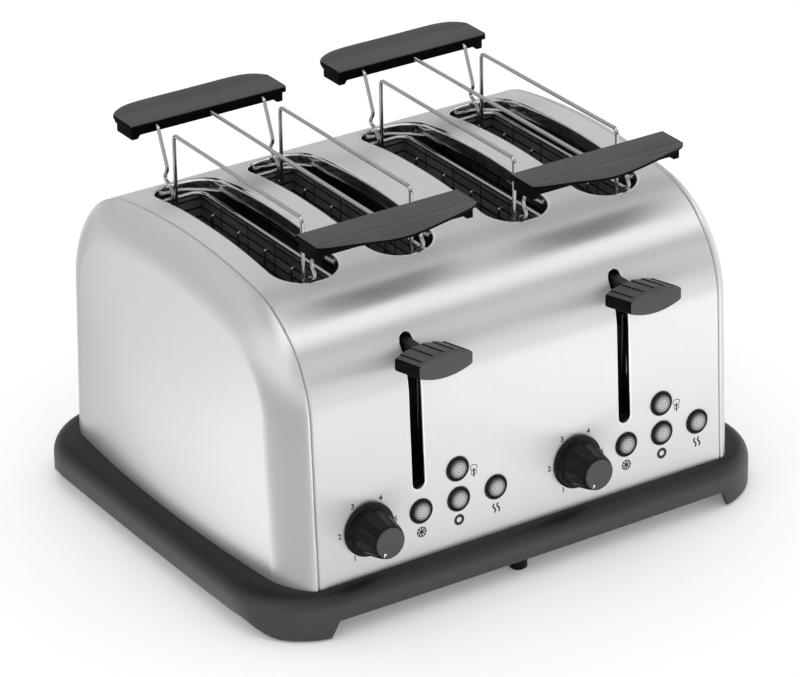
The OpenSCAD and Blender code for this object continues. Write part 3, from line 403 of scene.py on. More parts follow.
class Shell:
    """Side outline of the cover, measured by arc length s from the crown's middle towards the front."""

    def __init__(self, sizes):
        low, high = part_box("wrap_cover")
        self.half_width = (high[0] - low[0]) / 2
        self.half_depth = (high[1] - low[1]) / 2
        self.middle = (high[1] + low[1]) / 2
        self.foot = low[2]
        self.lean = sizes.lean
        self.radius = sizes.shoulder
        self.crown = sizes.crown
        self.crown_centre = high[2] - sizes.crown
        slope = tan(self.lean)
        start = -self.half_depth + self.radius / cos(self.lean)
        rise = self.foot - self.crown_centre
        mixed = start * slope + rise
        square = start ** 2 + rise ** 2 - (self.crown - self.radius) ** 2
        up = (sqrt(mixed ** 2 - (1 + slope ** 2) * square) - mixed) / (1 + slope ** 2)
        self.shoulder_y = -(start + slope * up)
        self.shoulder_z = self.foot + up
        self.blend = atan2(self.shoulder_y, self.shoulder_z - self.crown_centre)
        self.crown_run = self.crown * self.blend
        self.shoulder_run = self.radius * (pi / 2 - self.lean - self.blend)
        self.wall_top = self.shoulder_z + self.radius * sin(self.lean)
        self.wall_run = (self.wall_top - self.foot) / cos(self.lean)
        self.length = self.crown_run + self.shoulder_run + self.wall_run

    def outline(self, s):
        """Depth from the middle, height and tilt of the surface at s, where tilt is 0 on level ground."""
        run = abs(s)
        if run <= self.crown_run:
            tilt = run / self.crown
            depth = self.crown * sin(tilt)
            height = self.crown_centre + self.crown * cos(tilt)
        else:
            tilt = min(self.blend + (run - self.crown_run) / self.radius, pi / 2 - self.lean)
            depth = self.shoulder_y + self.radius * sin(tilt)
            height = self.shoulder_z + self.radius * cos(tilt)
            rest = max(0.0, run - self.crown_run - self.shoulder_run)
            depth += rest * sin(self.lean)
            height -= rest * cos(self.lean)
        return (-depth if s > 0 else depth), height, tilt

    def normal(self, s):
        """Outward direction of the surface at s."""
        tilt = self.outline(s)[2]
        return Vector((0, -sin(tilt) if s > 0 else sin(tilt), cos(tilt)))

    def point(self, x, s, inset=0.0):
        """A point of the surface, moved in by an inset."""
        depth, height, _ = self.outline(s)
        return Vector((x, self.middle + depth, height)) - inset * self.normal(s)

    def at_depth(self, depth):
        """Arc length of a point of the top, from its distance in front of the middle."""
        run = abs(depth)
        if run <= self.crown * sin(self.blend):
            run = self.crown * asin(run / self.crown)
        else:
            run = self.crown_run + self.radius * (asin((run - self.shoulder_y) / self.radius) - self.blend)
        return run if depth > 0 else -run

    def at_height(self, height):
        """Arc length of a point of the front wall or shoulder, from its height."""
        if height <= self.wall_top:
            return self.crown_run + self.shoulder_run + (self.wall_top - height) / cos(self.lean)
        return self.crown_run + self.radius * (acos((height - self.shoulder_z) / self.radius) - self.blend)

    def samples(self):
        """Arc lengths close enough together to draw the outline smoothly, back foot to front foot."""
        even_steps = 18
        shoulder_steps = 40
        wall = self.crown_run + self.shoulder_run
        half = spread(0, self.crown_run, even_steps)
        half += spread(self.crown_run, wall, shoulder_steps)[1:]
        half += spread(wall, self.length, even_steps)[1:]
        return [-s for s in reversed(half[1:])] + half

    def wall_frame(self, x, height):
        """A frame on the front wall: X to the right, Y up along the wall and Z out of it."""
        s = self.at_height(height)
        out = Vector((0, -cos(self.lean), sin(self.lean)))
        up = Vector((0, sin(self.lean), cos(self.lean)))
        turn = Matrix((Vector((1, 0, 0)), up, out)).transposed().to_4x4()
        return Matrix.Translation(self.point(x, s)) @ turn

    def facing(self, node):
        """A frame on the front wall where a node's axis comes through it."""
        middle = middle_of(node)
        wall = self.middle + self.outline(self.at_height(middle.z))[0]
        return self.wall_frame(middle.x, middle.z + (middle.y - wall) * cos(self.lean) * sin(self.lean))


def shell_of(context):
    """The shell's outline from the settings."""
    return Shell(context.scene.toaster_shell)


def middle_of(node):
    """Middle of a node's box."""
    low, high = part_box(node)
    return (low + high) / 2


def slot_outline(hole, grow):
    """Points round a hole in the flat sheet, with the hole grown on every side."""
    arc_step = 1.6 * MM
    fewest_steps = 8
    straight_step = 4 * MM
    across = hole.half_width - hole.corner
    along = hole.half_length - hole.corner
    arc_steps = max(fewest_steps, ceil(hole.corner * pi / 2 / arc_step))
    straight_steps = [ceil(2 * reach / straight_step) for reach in (across, along)]
    points = rounded(across, along, hole.corner + grow, arc_steps, straight_steps)
    return [(hole.x + p, hole.s + q) for p, q in points]


def hole_distance(hole, x, s):
    """Distance of a point of the flat sheet from a hole's edge, negative inside."""
    across = abs(x - hole.x) - (hole.half_width - hole.corner)
    along = abs(s - hole.s) - (hole.half_length - hole.corner)
    return hypot(max(across, 0), max(along, 0)) + min(max(across, along), 0) - hole.corner


def round_hole(x, s, radius):
    """A round hole with a plain edge."""
    return Hole(x, s, radius, radius, radius, 0.0, 0.0, False)


def cover_holes(context, shell):
    """Every hole of the cover: bread slots, lever slots, control holes, tray doors and cord gland."""
    sizes = context.scene.toaster_shell
    controls = context.scene.toaster_controls
    shaft_hole = 4 * MM
    gland_hole = 7 * MM
    bezel_flange = 0.7 * MM
    door_lap = 2 * MM
    door_lift = 1.2 * MM
    door_corner = 0.5 * MM
    holes = []
    half_length = shell.at_depth(sizes.slot_length / 2)
    for i in range(SLOT_COUNT):
        holes.append(Hole(
            middle_of(f"bread_cage_{i + 1}").x, 0.0, sizes.slot_width / 2, half_length,
            sizes.slot_corner, sizes.slot_roll, sizes.slot_flange, True))
    top = shell.at_height(sizes.lever_high)
    low = shell.at_height(sizes.lever_low)
    half = sizes.lever_slot / 2
    for side in SIDES:
        holes.append(Hole(
            middle_of(f"{side}_lever_knob").x, (top + low) / 2, half, (low - top) / 2, half,
            sizes.lever_roll, sizes.lever_flange, False))
        holes.append(round_hole(
            middle_of(f"{side}_dial").x, shell.at_height(controls.control_z), shaft_hole))
        for name in BUTTONS:
            spot = shell.facing(f"{side}_{name}_button").translation
            holes.append(round_hole(spot.x, shell.at_height(spot.z), controls.bezel / 2 - bezel_flange))
        tray_low, tray_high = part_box(f"{side}_crumb_tray")
        half_door = (tray_high[0] - tray_low[0]) / 2 - door_lap
        door_low = shell.foot + door_lift
        door_high = tray_high[2] - door_lap
        holes.append(Hole(
            middle_of(f"{side}_crumb_tray").x, -shell.at_height((door_low + door_high) / 2), half_door,
            (door_high - door_low) / 2, door_corner, 0.0, 0.0, False))
    gland = middle_of("cord_gland")
    holes.append(round_hole(gland.x, -shell.at_height(gland.z), gland_hole))
    return holes


def cover_form(context, shell):
    """The wrapped sheet: a flat pattern with its holes, bent over the outline, with rolled edges."""
    sizes = context.scene.toaster_shell
    holes = cover_holes(context, shell)
    edge = shell.half_width - sizes.seam_roll
    column_count = 73
    spacing = 1.3 * MM
    same_point = 1e-8
    columns = spread(-edge, edge, column_count)
    rows = shell.samples()
    border = [(x, rows[0]) for x in columns]
    border += [(edge, s) for s in rows[1:]]
    border += [(x, rows[-1]) for x in reversed(columns[:-1])]
    border += [(-edge, s) for s in reversed(rows[1:-1])]
    points = list(border)
    edges = [(i, (i + 1) % len(border)) for i in range(len(border))]
    for hole in holes:
        loop = slot_outline(hole, hole.roll)
        start = len(points)
        points.extend(loop)
        edges.extend((start + i, start + (i + 1) % len(loop)) for i in range(len(loop)))
    for x in columns[1:-1]:
        for s in rows[1:-1]:
            if all(hole_distance(hole, x, s) > hole.roll + spacing for hole in holes):
                points.append((x, s))
    flat = delaunay_2d_cdt([Vector(p) for p in points], edges, [], 0, same_point)
    kept = []
    for face in flat[2]:
        x = sum(flat[0][i].x for i in face) / len(face)
        s = sum(flat[0][i].y for i in face) / len(face)
        if all(hole_distance(hole, x, s) > hole.roll for hole in holes):
            kept.append(tuple(face))
    form = Form()
    flanges = Form()
    form.add([shell.point(p.x, p.y) for p in flat[0]], kept, [(p.x, p.y) for p in flat[0]])
    for hole in holes:
        if hole.roll:
            rolled_edge(flanges, shell, hole)
    lip = 3 * sizes.seam_roll
    roll = quarter(sizes.seam_roll, 5)
    for end in (-1, 1):
        strip = []
        pattern = []
        for inset, depth in roll:
            x = end * (shell.half_width - inset)
            strip.extend(shell.point(x, s, depth) for s in rows)
            pattern.extend((x, s) for s in rows)
        strip.extend(shell.point(end * shell.half_width, s, lip) for s in rows)
        pattern.extend((end * (shell.half_width + lip), s) for s in rows)
        form.add(strip, grid_faces(len(roll) + 1, len(rows)), pattern)
    return form, flanges


def rolled_edge(flanges, shell, hole):
    """Adds the rolled edge of a hole and the flange below it."""
    rolled = quarter(hole.roll, 8)
    upright = [(0.0, depth) for depth in spread(hole.roll, hole.depth, 4)]
    for steps in (rolled, upright):
        points = []
        for grow, depth in steps:
            for x, s in slot_outline(hole, grow):
                down = UP if hole.upright else shell.normal(s)
                points.append(shell.point(x, s) - depth * down)
        flanges.add(points, grid_faces(len(steps), len(points) // len(steps), False, True))


def cap_form(sizes, shell, end):
    """A pressed end cap: a bead at the seam, a rounded edge and a bowed face."""
    rows = shell.samples()
    seam = 0.5 * MM
    start = shell.half_width + seam
    lip = 3 * sizes.cap_bead
    # Each ring has its inset from the outline, its depth out from the seam and its share of the outline
    rings = [(lip, 0.0, 1.0)]
    rings += [(inset, depth, 1.0) for inset, depth in quarter(sizes.cap_bead, 6)]
    for turn in spread(0, pi / 2, 20)[1:]:
        depth = sizes.cap_bead + (sizes.cap_depth - sizes.cap_bead) * sin(turn) ** sizes.cap_flatness
        rings.append((sizes.cap_run * (1 - max(0.0, cos(turn)) ** sizes.cap_flatness), depth, 1.0))
    for share in (0.94, 0.86, 0.75, 0.62, 0.48, 0.34, 0.2, 0.08, 0.0005):
        rings.append((sizes.cap_run, sizes.cap_depth + sizes.cap_bow * (1 - share ** 2), share))
    points = []
    pattern = []
    for inset, depth, share in rings:
        for s in rows:
            p = shell.point(0, s, inset)
            y = shell.middle + (p.y - shell.middle) * share
            z = shell.foot + (p.z - shell.foot) * share
            points.append((end * (start + depth), y, z))
            pattern.append((y + depth, z))
    form = Form()
    form.add(points, grid_faces(len(rings), len(rows)), pattern)
    return form


# Materials


def connect(tree, node, inputs):
    """Fills a node's inputs; each takes a value or the socket that feeds it."""
    for key, value in inputs.items():
        if isinstance(value, bpy.types.NodeSocket):
            tree.links.new(value, node.inputs[key])
        else:
            node.inputs[key].default_value = value


def add(tree, kind, inputs=None, **settings):
    """Adds a shader node with its settings and inputs."""
    node = tree.nodes.new(kind)
    for key, value in settings.items():
        setattr(node, key, value)
    connect(tree, node, inputs or {})
    return node


def material(name, fill):
    """The material of a name; when it is first asked for, fill takes its tree and its main shader."""
    made = bpy.data.materials.get(name)
    if made is None:
        made = bpy.data.materials.new(name)
        made.use_nodes = True
        fill(made.node_tree, made.node_tree.nodes["Principled BSDF"])
    return made


def in_piece(tree):
    """The place of a shaded point in its own piece, in metres."""
    return add(tree, "ShaderNodeTexCoord").outputs["Object"]


def ramp(tree, factor, *stops):
    """A colour ramp from (place, colour) stops."""
    node = add(tree, "ShaderNodeValToRGB", {"Fac": factor})
    elements = node.color_ramp.elements
    for i, (place, value) in enumerate(stops):
        element = elements[i] if i < 2 else elements.new(place)
        element.position = place
        element.color = rgba(value)
    return node.outputs["Color"]


def shaded(value, factor):
    """A colour made lighter or darker."""
    return tuple(min(1.0, v * factor) for v in value)


def tones(tree, factor, tint, low, high):
    """A colour that a noise makes a little darker or lighter."""
    return ramp(tree, factor, (NOISE_LOW, shaded(tint, low)), (NOISE_HIGH, shaded(tint, high)))


def noise(tree, scale, detail=3.0, roughness=0.5, vector=None):
    """Noise from 0 to 1 with a scale per metre of the piece, or per unit of a given vector."""
    node = add(tree, "ShaderNodeTexNoise", {
        "Vector": vector or in_piece(tree), "Scale": scale, "Detail": detail, "Roughness": roughness})
    return node.outputs["Fac"]


def between(tree, value, low, high, start=NOISE_LOW, end=NOISE_HIGH):
    """A value spread over a range."""
    node = add(tree, "ShaderNodeMapRange", {
        "Value": value, "From Min": start, "From Max": end, "To Min": low, "To Max": high})
    return node.outputs["Result"]


def bump(tree, height, strength, distance):
    """A fine relief."""
    node = add(tree, "ShaderNodeBump", {"Height": height, "Strength": strength, "Distance": distance})
    return node.outputs["Normal"]


def brushed(tree, tint):
    """Cover: fine lines up the sheet blur what it mirrors across them and keep it sharp along them."""
    flat = add(tree, "ShaderNodeUVMap", uv_map="sheet").outputs["UV"]
    # Real brush lines are about 0.1 mm wide; these are 1 mm wide and 110 mm long, to show in a picture
    lines = add(tree, "ShaderNodeMapping", {"Vector": flat, "Scale": (1000, 9, 1)}).outputs["Vector"]
    grain = noise(tree, 1.0, detail=5.0, roughness=0.72, vector=lines)
    cloud = noise(tree, 14.0, detail=2.0, vector=flat)
    wear = add(tree, "ShaderNodeMath", {
        0: between(tree, grain, 0.43, 0.49), 1: between(tree, cloud, -0.01, 0.015)}, operation="ADD")
    tangent = add(tree, "ShaderNodeTangent", direction_type="UV_MAP", uv_map="sheet")
    return {
        "Base Color": tones(tree, grain, tint, 0.965, 1.02),
        "Metallic": 0.75,
        "Roughness": wear.outputs["Value"],
        "Anisotropic": 1.0,
        "Tangent": tangent.outputs["Tangent"],
        "Normal": bump(tree, grain, strength=0.03, distance=0.02 * MM),
    }


def satin(tree, tint):
    """End caps: a pressed sheet with a finer, softer sheen than the cover's."""
    place = in_piece(tree)
    # Real marks are finer; these are about 1 mm wide and 45 mm long, to show in a picture
    lines = add(tree, "ShaderNodeMapping", {"Vector": place, "Scale": (900, 900, 22)}).outputs["Vector"]
    grain = noise(tree, 1.0, detail=4.0, roughness=0.7, vector=lines)
    return {
        "Base Color": tones(tree, grain, tint, 0.975, 1.01),
        "Metallic": 0.8,
        "Roughness": between(tree, grain, 0.325, 0.355),
        "Normal": bump(tree, grain, strength=0.012, distance=0.02 * MM),
    }


def polished(tree, tint, scale, darkest, smoothest, roughest):
    """Bare bright metal: faint marks in its tone and its gloss."""
    marks = noise(tree, scale)
    return {
        "Base Color": tones(tree, marks, tint, darkest, 1.0),
        "Metallic": 1.0,
        "Roughness": between(tree, marks, smoothest, roughest),
    }


def moulded(tree, tint, roughness, scale, depth, shine):
    """Moulded plastic: a spark-eroded grain of a given scale, with slightly uneven gloss."""
    grain = noise(tree, scale, roughness=0.6)
    cloud = noise(tree, 30.0)
    return {
        "Base Color": tones(tree, cloud, tint, 0.88, 1.1),
        "Roughness": between(tree, grain, roughness - 0.05, roughness + 0.07),
        "Specular IOR Level": shine,
        "Normal": bump(tree, grain, strength=0.25, distance=depth),
    }


def plinth_painted_by_facing(tree, tint):
    """Plinth: finely grained; grey on its flanks, partly the grain and partly painted reflection of the
    pale floor, with painted shade darker on its rounded edge and black on its ledge.
    """
    grain = noise(tree, 1800.0, roughness=0.6)
    normal = add(tree, "ShaderNodeNewGeometry").outputs["Normal"]
    shade_by_facing_up = add(tree, "ShaderNodeSeparateXYZ", {"Vector": normal}).outputs["Z"]
    # Painted light by how far a face looks up: grey flanks with painted reflection, then painted shade,
    # darker on the rounded edge and black on the ledge
    tone = ramp(tree, shade_by_facing_up, (0.2, tint), (0.52, shaded(tint, 0.65)), (0.85, shaded(tint, 0.12)))
    return {
        "Base Color": tone,
        "Roughness": between(tree, grain, 0.36, 0.46),
        "Specular IOR Level": 0.3,
        "Normal": bump(tree, grain, strength=0.25, distance=0.02 * MM),
    }


def ringed_with_painted_glints(tree, tint):
    """Buttons: glossy grey lenses with painted rings, light ones as painted highlights and dark ones as
    painted shade for the moulded rings, and painted shade that turns the edge black.
    """
    lens_radius = 5.5 * MM
    level = add(tree, "ShaderNodeVectorMath", {0: in_piece(tree), 1: (1, 1, 0)}, operation="MULTIPLY")
    reach = add(tree, "ShaderNodeVectorMath", {0: level.outputs["Vector"]}, operation="LENGTH")
    share = between(tree, reach.outputs["Value"], 0.0, 1.0, 0.0, lens_radius)
    dust = noise(tree, 700.0, detail=2.0)
    # Each ring has its share of the lens radius and its tone; tones over 1 are painted highlights, low
    # tones painted shade, darkest at the edge
    rings = (
        (0.06, 0.45), (0.16, 1.4), (0.29, 0.4), (0.41, 1.3), (0.53, 0.35), (0.64, 0.9), (0.73, 0.2),
        (0.82, 0.3), (0.9, 0.05))
    return {
        "Base Color": ramp(tree, share, *[(place, shaded(tint, tone)) for place, tone in rings]),
        "Roughness": between(tree, dust, 0.1, 0.16),
        "Coat Weight": 0.3,
        "Coat Roughness": 0.05,
    }


def louvred(tree, tint):
    """Bread cages: sheet that heat has toned dark, pressed with rows of louvres and posts between them; the
    near-black lines round the louvres are painted shade in their slits.
    """
    cloud = noise(tree, 60.0, detail=4.0, roughness=0.6)
    split = add(tree, "ShaderNodeSeparateXYZ", {"Vector": in_piece(tree)}).outputs
    wall = add(tree, "ShaderNodeCombineXYZ", {"X": split["Y"], "Y": split["Z"]}).outputs["Vector"]
    # At this scale one unit of the pattern is 5 mm: louvres 5.5 mm high between posts 27 mm apart
    # Louvres differ at random in tone; the near-black mortar is painted shade in the slits round them
    louvres = add(tree, "ShaderNodeTexBrick", {
        "Vector": wall, "Scale": 200.0, "Brick Width": 5.4, "Row Height": 1.1, "Mortar Size": 0.12,
        "Color1": rgba(shaded(tint, 1.2)), "Color2": rgba(shaded(tint, 0.5)),
        "Mortar": rgba(shaded(tint, 0.06))}, offset=0.0)
    return {
        "Base Color": louvres.outputs["Color"],
        "Metallic": 0.6,
        "Roughness": between(tree, cloud, 0.42, 0.58),
        "Normal": bump(tree, louvres.outputs["Fac"], strength=0.3, distance=-0.4 * MM),
    }


def blotched(tree, tint, metallic, roughness, scale, unevenness):
    """Inner pieces: a blotchy tone with uneven gloss."""
    cloud = noise(tree, scale, detail=5.0, roughness=0.6)
    return {
        "Base Color": tones(tree, cloud, tint, 1 - unevenness, 1 + unevenness),
        "Metallic": metallic,
        "Roughness": between(tree, cloud, roughness - 0.06, roughness + 0.1),
        "Normal": bump(tree, cloud, strength=0.1, distance=0.03 * MM),
    }


def printed(tree, tint):
    """Screen print: a flat matt film with a faintly speckled tone."""
    speck = noise(tree, 2500.0, detail=2.0)
    return {
        "Base Color": ramp(tree, speck, (0.25, shaded(tint, 0.85)), (0.75, shaded(tint, 1.15))),
        "Roughness": between(tree, speck, 0.45, 0.6),
    }


# Each finish: the material's name, its wiring, its colour as a setting or a hex code, and its values
FINISHES = {
    "brushed": ("Brushed stainless steel", brushed, "steel", {}),
    "satin": ("Satin stainless steel", satin, "cap", {}),
    # Slot flanges: the sheet's plain side, unbrushed, so it mirrors the dark well sharply
    "mill": ("Mill-finish steel", polished, "steel", {
        "scale": 90.0, "darkest": 0.9, "smoothest": 0.09, "roughest": 0.14}),
    # Racks and rims: drawn and plated wire, with faint draw marks
    "wire": ("Bright plated wire", polished, "wire", {
        "scale": 900.0, "darkest": 0.92, "smoothest": 0.06, "roughest": 0.1}),
    # Plinth: black plastic with painted reflection on its flanks and painted shade on its rounded edge and
    # ledge
    "plinth": ("Satin black ABS", plinth_painted_by_facing, "plinth", {}),
    # Handles and lever knobs, and the faces of dials: dark grey with a coarse grain that breaks up their
    # shine; the grey beside their black sides is partly the grain and partly painted light
    "grip": ("Grained dark ABS", moulded, "grip", {
        "roughness": 0.5, "scale": 1300.0, "depth": 0.05 * MM, "shine": 0.4}),
    # Dials and bezels: smooth black with a faint shine
    "smooth": ("Smooth black ABS", moulded, "dial", {
        "roughness": 0.32, "scale": 2200.0, "depth": 0.01 * MM, "shine": 0.22}),
    # Sides of handles and knobs: matt and nearly without shine, so deep black, the painted shade beside the
    # lighter grey grip finish of the same plastic
    "matt": ("Matt black ABS", moulded, "dial", {
        "roughness": 0.6, "scale": 1500.0, "depth": 0.02 * MM, "shine": 0.05}),
    "lens": ("Grey lens acrylic", ringed_with_painted_glints, "lens", {}),
    "cage": ("Heat-toned cage sheet", louvred, "cage", {}),
    "print": ("Grey panel ink", printed, "ink", {}),
    "pointer": ("White pointer ink", printed, "#f4f4f2", {}),
    # Carriages and their arms: steel blackened by an oxide bath
    "oxide": ("Black oxide steel", blotched, "#1c1c1c", {
        "metallic": 0.5, "roughness": 0.42, "scale": 300.0, "unevenness": 0.15}),
    # Chassis, trays and lifts: zinc plate with a faint spangle
    "zinc": ("Zinc-plated sheet", blotched, "#b9bcbe", {
        "metallic": 1.0, "roughness": 0.36, "scale": 120.0, "unevenness": 0.12}),
    # Heater boards: flaky mica, browned by heat
    "mica": ("Mica board", blotched, "#5a5043", {
        "metallic": 0.0, "roughness": 0.5, "scale": 260.0, "unevenness": 0.25}),
    # Control boards: green lacquer over copper
    "lacquer": ("Lacquered board", blotched, "#2c5f3e", {
        "metallic": 0.0, "roughness": 0.3, "scale": 180.0, "unevenness": 0.15}),
    # Magnets: enamelled copper wire
    "copper": ("Enamelled copper", blotched, "#b06a35", {
        "metallic": 0.8, "roughness": 0.3, "scale": 600.0, "unevenness": 0.2}),
    # Feet: matt black rubber with a faint bloom
    "rubber": ("Black rubber", blotched, "#171717", {
        "metallic": 0.0, "roughness": 0.75, "scale": 300.0, "unevenness": 0.2}),
}


def finish(key):
    """The material of a finish."""
    name, wire, tint, values = FINISHES[key]
    settings = bpy.context.scene.toaster_colours
    shade = linear(tint) if tint.startswith("#") else tuple(getattr(settings, tint))
    return material(name, lambda tree, shader: connect(tree, shader, wire(tree, shade, **values)))


def show_instead(tree, shader, other):
    """Puts another shader in the main shader's place."""
    tree.nodes.remove(shader)
    tree.links.new(other.outputs[0], tree.nodes["Material Output"].inputs["Surface"])


# Operators and their helpers


class TOASTER_OT_shell(bpy.types.Operator):
    """Builds the wrapped cover and the two end caps"""

    bl_idname = "toaster.shell"
    bl_label = "Shell"

    def execute(self, context):
        sizes = context.scene.toaster_shell
        shell = shell_of(context)
        centre = Vector((0, shell.middle, shell.foot))
        crease = radians(50)

        def outward(point):
            return point - centre

        face, edges = cover_form(context, shell)
        face.piece(
            "steel_cover", "brushed", "housing", "brushed_steel", "wrap_cover",
            crease=crease, sheet=sizes.sheet, outward=outward)
        edges.piece("slot_flanges", "mill", "housing", "brushed_steel", crease=crease)
        for side, end in SIDES.items():
            cap_form(sizes, shell, end).piece(
                f"steel_cap_{side}", "satin", "housing", "brushed_steel", f"{side}_end_cap",
                crease=crease, outward=outward)
        return {"FINISHED"}


class TOASTER_OT_plinth(bpy.types.Operator):
    """Builds the black plinth with its four corner feet"""

    bl_idname = "toaster.plinth"
    bl_label = "Plinth"

    def execute(self, context):
        sizes = context.scene.toaster_plinth
        low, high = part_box("base_plinth")
        half_w = (high[0] - low[0]) / 2 - sizes.bow
        half_d = (high[1] - low[1]) / 2 - sizes.bow
        middle = (high[1] + low[1]) / 2
        top = high[2]
        plate_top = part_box("bottom_plate")[1][2]
        side_start = half_d + sizes.bow - sizes.side_foot - sizes.side_step
        foot_start = half_w + sizes.bow - sizes.foot - sizes.foot_step
        corner_steps = 29
        straight_steps = (40, 40)
        lower_round = 1.6 * MM
        ledge_slope = 1 * MM

        def bowed(x, y):
            return (
                x * (1 + sizes.bow / half_w * (1 - (y / half_d) ** 2)),
                middle + y * (1 + sizes.bow / half_d * (1 - (x / half_w) ** 2)))

        def skirt(x, y):
            share = smooth_step(foot_start, foot_start + sizes.foot_step, abs(x))
            share *= smooth_step(side_start, side_start + sizes.side_step, abs(y))
            side = smooth_step(half_w - sizes.corner, half_w, abs(x))
            height = sizes.skirt + (sizes.side_skirt - sizes.skirt) * side
            return low[2] + (height - low[2]) * (1 - share)

        def ring(inset, height=None, rise=0.0):
            plan = rounded(
                half_w - sizes.corner, half_d - sizes.corner, sizes.corner - inset, corner_steps,
                straight_steps)
            return [(*bowed(x, y), skirt(x, y) + rise if height is None else height) for x, y in plan]

        rings = [ring(sizes.wall - lower_round)]
        rings += [ring(inset, rise=rise) for inset, rise in quarter(lower_round, 5)]
        rings += [ring(inset, top - drop) for drop, inset in quarter(sizes.edge, 14)]
        inner = sizes.ledge - sizes.wall
        inside = (
            (sizes.ledge - ledge_slope, top), (sizes.ledge, plate_top), (inner, plate_top),
            (inner, top - sizes.wall), (sizes.edge, top - sizes.wall), (sizes.wall, top - sizes.edge))
        rings += [ring(inset, height) for inset, height in inside]
        rings.append(ring(sizes.wall, rise=lower_round))
        form = Form()
        form.loft(rings, True)
        form.piece("black_plinth", "plinth", "housing", "satin_black_plastic", "base_plinth")
        return {"FINISHED"}


def leg_corners(sizes, rim_y, rim_top):
    """Corners of a side wire from the handle to the rail, as distance from the middle and height."""
    cage_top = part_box("bread_cage_1")[1][2]
    # Level stub in the handle, and the corner from which the wire falls to the slot
    hold = 6 * MM
    lead = 2 * MM
    corner_in = 0.5 * MM
    corner_rise = 9.4 * MM
    handle_y = rim_y + sizes.handle_gap
    neck = sizes.rail - 1 * MM
    # Sloping part that rests on the edge of the slot
    slope = radians(23)
    clear = sizes.wire / 2 + 0.4 * MM
    seat_y = rim_y - clear * sin(slope)
    seat_z = rim_top + clear * cos(slope)
    inner = 1.6 * MM
    outer = 4.6 * MM
    # Hairpin inside the slot, down past the rim of the cage and up to the rail
    leg_y = rim_y - sizes.leg_inset
    turn = sizes.wire + 0.6 * MM
    splay = 0.6 * MM
    shoulder = cage_top + sizes.rim + 2 * MM
    foot = cage_top - 4.5 * MM
    return [
        (handle_y + hold, neck), (handle_y - lead, neck), (rim_y - corner_in, rim_top + corner_rise),
        (seat_y + outer * cos(slope), seat_z + outer * sin(slope)),
        (seat_y - inner * cos(slope), seat_z - inner * sin(slope)),
        (leg_y + turn + splay, shoulder), (leg_y + turn, foot), (leg_y, foot), (leg_y, sizes.rail)]


def add_handle(form, sizes, x0, middle, face, start, side):
    """Adds one handle: a flat top and a rolled outer lip that droops in the middle, over a box."""
    roll_rise = 1.6 * MM
    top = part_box(f"{side}_rack_handles")[1][2] - roll_rise
    half = sizes.handle_length / 2
    lip_end = 1 * MM
    flat = sizes.handle_end - lip_end
    lip_middle = sizes.handle_middle - flat
    sag = 0.6 * MM
    droop = 3.8 * MM
    droop_run = 23.5 * MM
    crest = 0.66
    plate = 3.6 * MM
    edge = 0.8 * MM
    groove = 0.8 * MM
    # Turned-under edge of the lip, as steps out and down from its tip in millimetres
    turned_under = ((0.15, 0.4), (0.1, 1.6), (-0.3, 2.1), (-0.9, 2.3))
    ring_count = 61
    lip_steps = 15

    def place(u, v, z):
        return Vector((x0 + u, middle + face * (start + v), top + z))

    rings = []
    for turn in spread(-pi / 2, pi / 2, ring_count):
        u = half * sin(turn)
        bow = max(0.0, 1 - sin(turn) ** 4) ** 0.7
        reach = lip_end + (lip_middle - lip_end) * bow
        rise = roll_rise * smooth_step(0, 1, bow)
        lip = rise - bow * (sag + droop * exp(-(u / droop_run) ** 2))
        section = [
            (0, -plate), (0, -edge), (0.3 * edge, -0.3 * edge), (edge, 0), (flat / 2, 0),
            (flat - groove, 0), (flat - 0.4 * groove, -0.6 * groove), (flat, -0.5 * groove)]
        for share in spread(0, 1, lip_steps)[1:]:
            if share < crest:
                z = rise * (1 - (1 - share / crest) ** 2)
            else:
                z = rise + (lip - rise) * ((share - crest) / (1 - crest)) ** 2
            section.append((flat + reach * share, z))
        tip = flat + reach
        section += [(tip + out * MM, lip - down * MM) for out, down in turned_under]
        section.append((flat - lip_end, -plate))
        rings.append([place(u, v, z) for v, z in section])
    form.loft(rings)
    inset = 1.4 * MM
    ends = half - inset
    foot_length = 6.5 * MM
    foot_height = 2 * MM
    foot = half - foot_length
    step = 1.5 * MM
    low = -sizes.handle_height
    high = low + foot_height
    lap = 0.2 * MM - plate
    outline = [
        (-ends, lap), (-ends, low), (-foot - step, low), (-foot, high),
        (foot, high), (foot + step, low), (ends, low), (ends, lap)]
    form.prism(outline, lambda a, b: place(a, inset, b), Vector((0, face * (flat - inset), 0)))


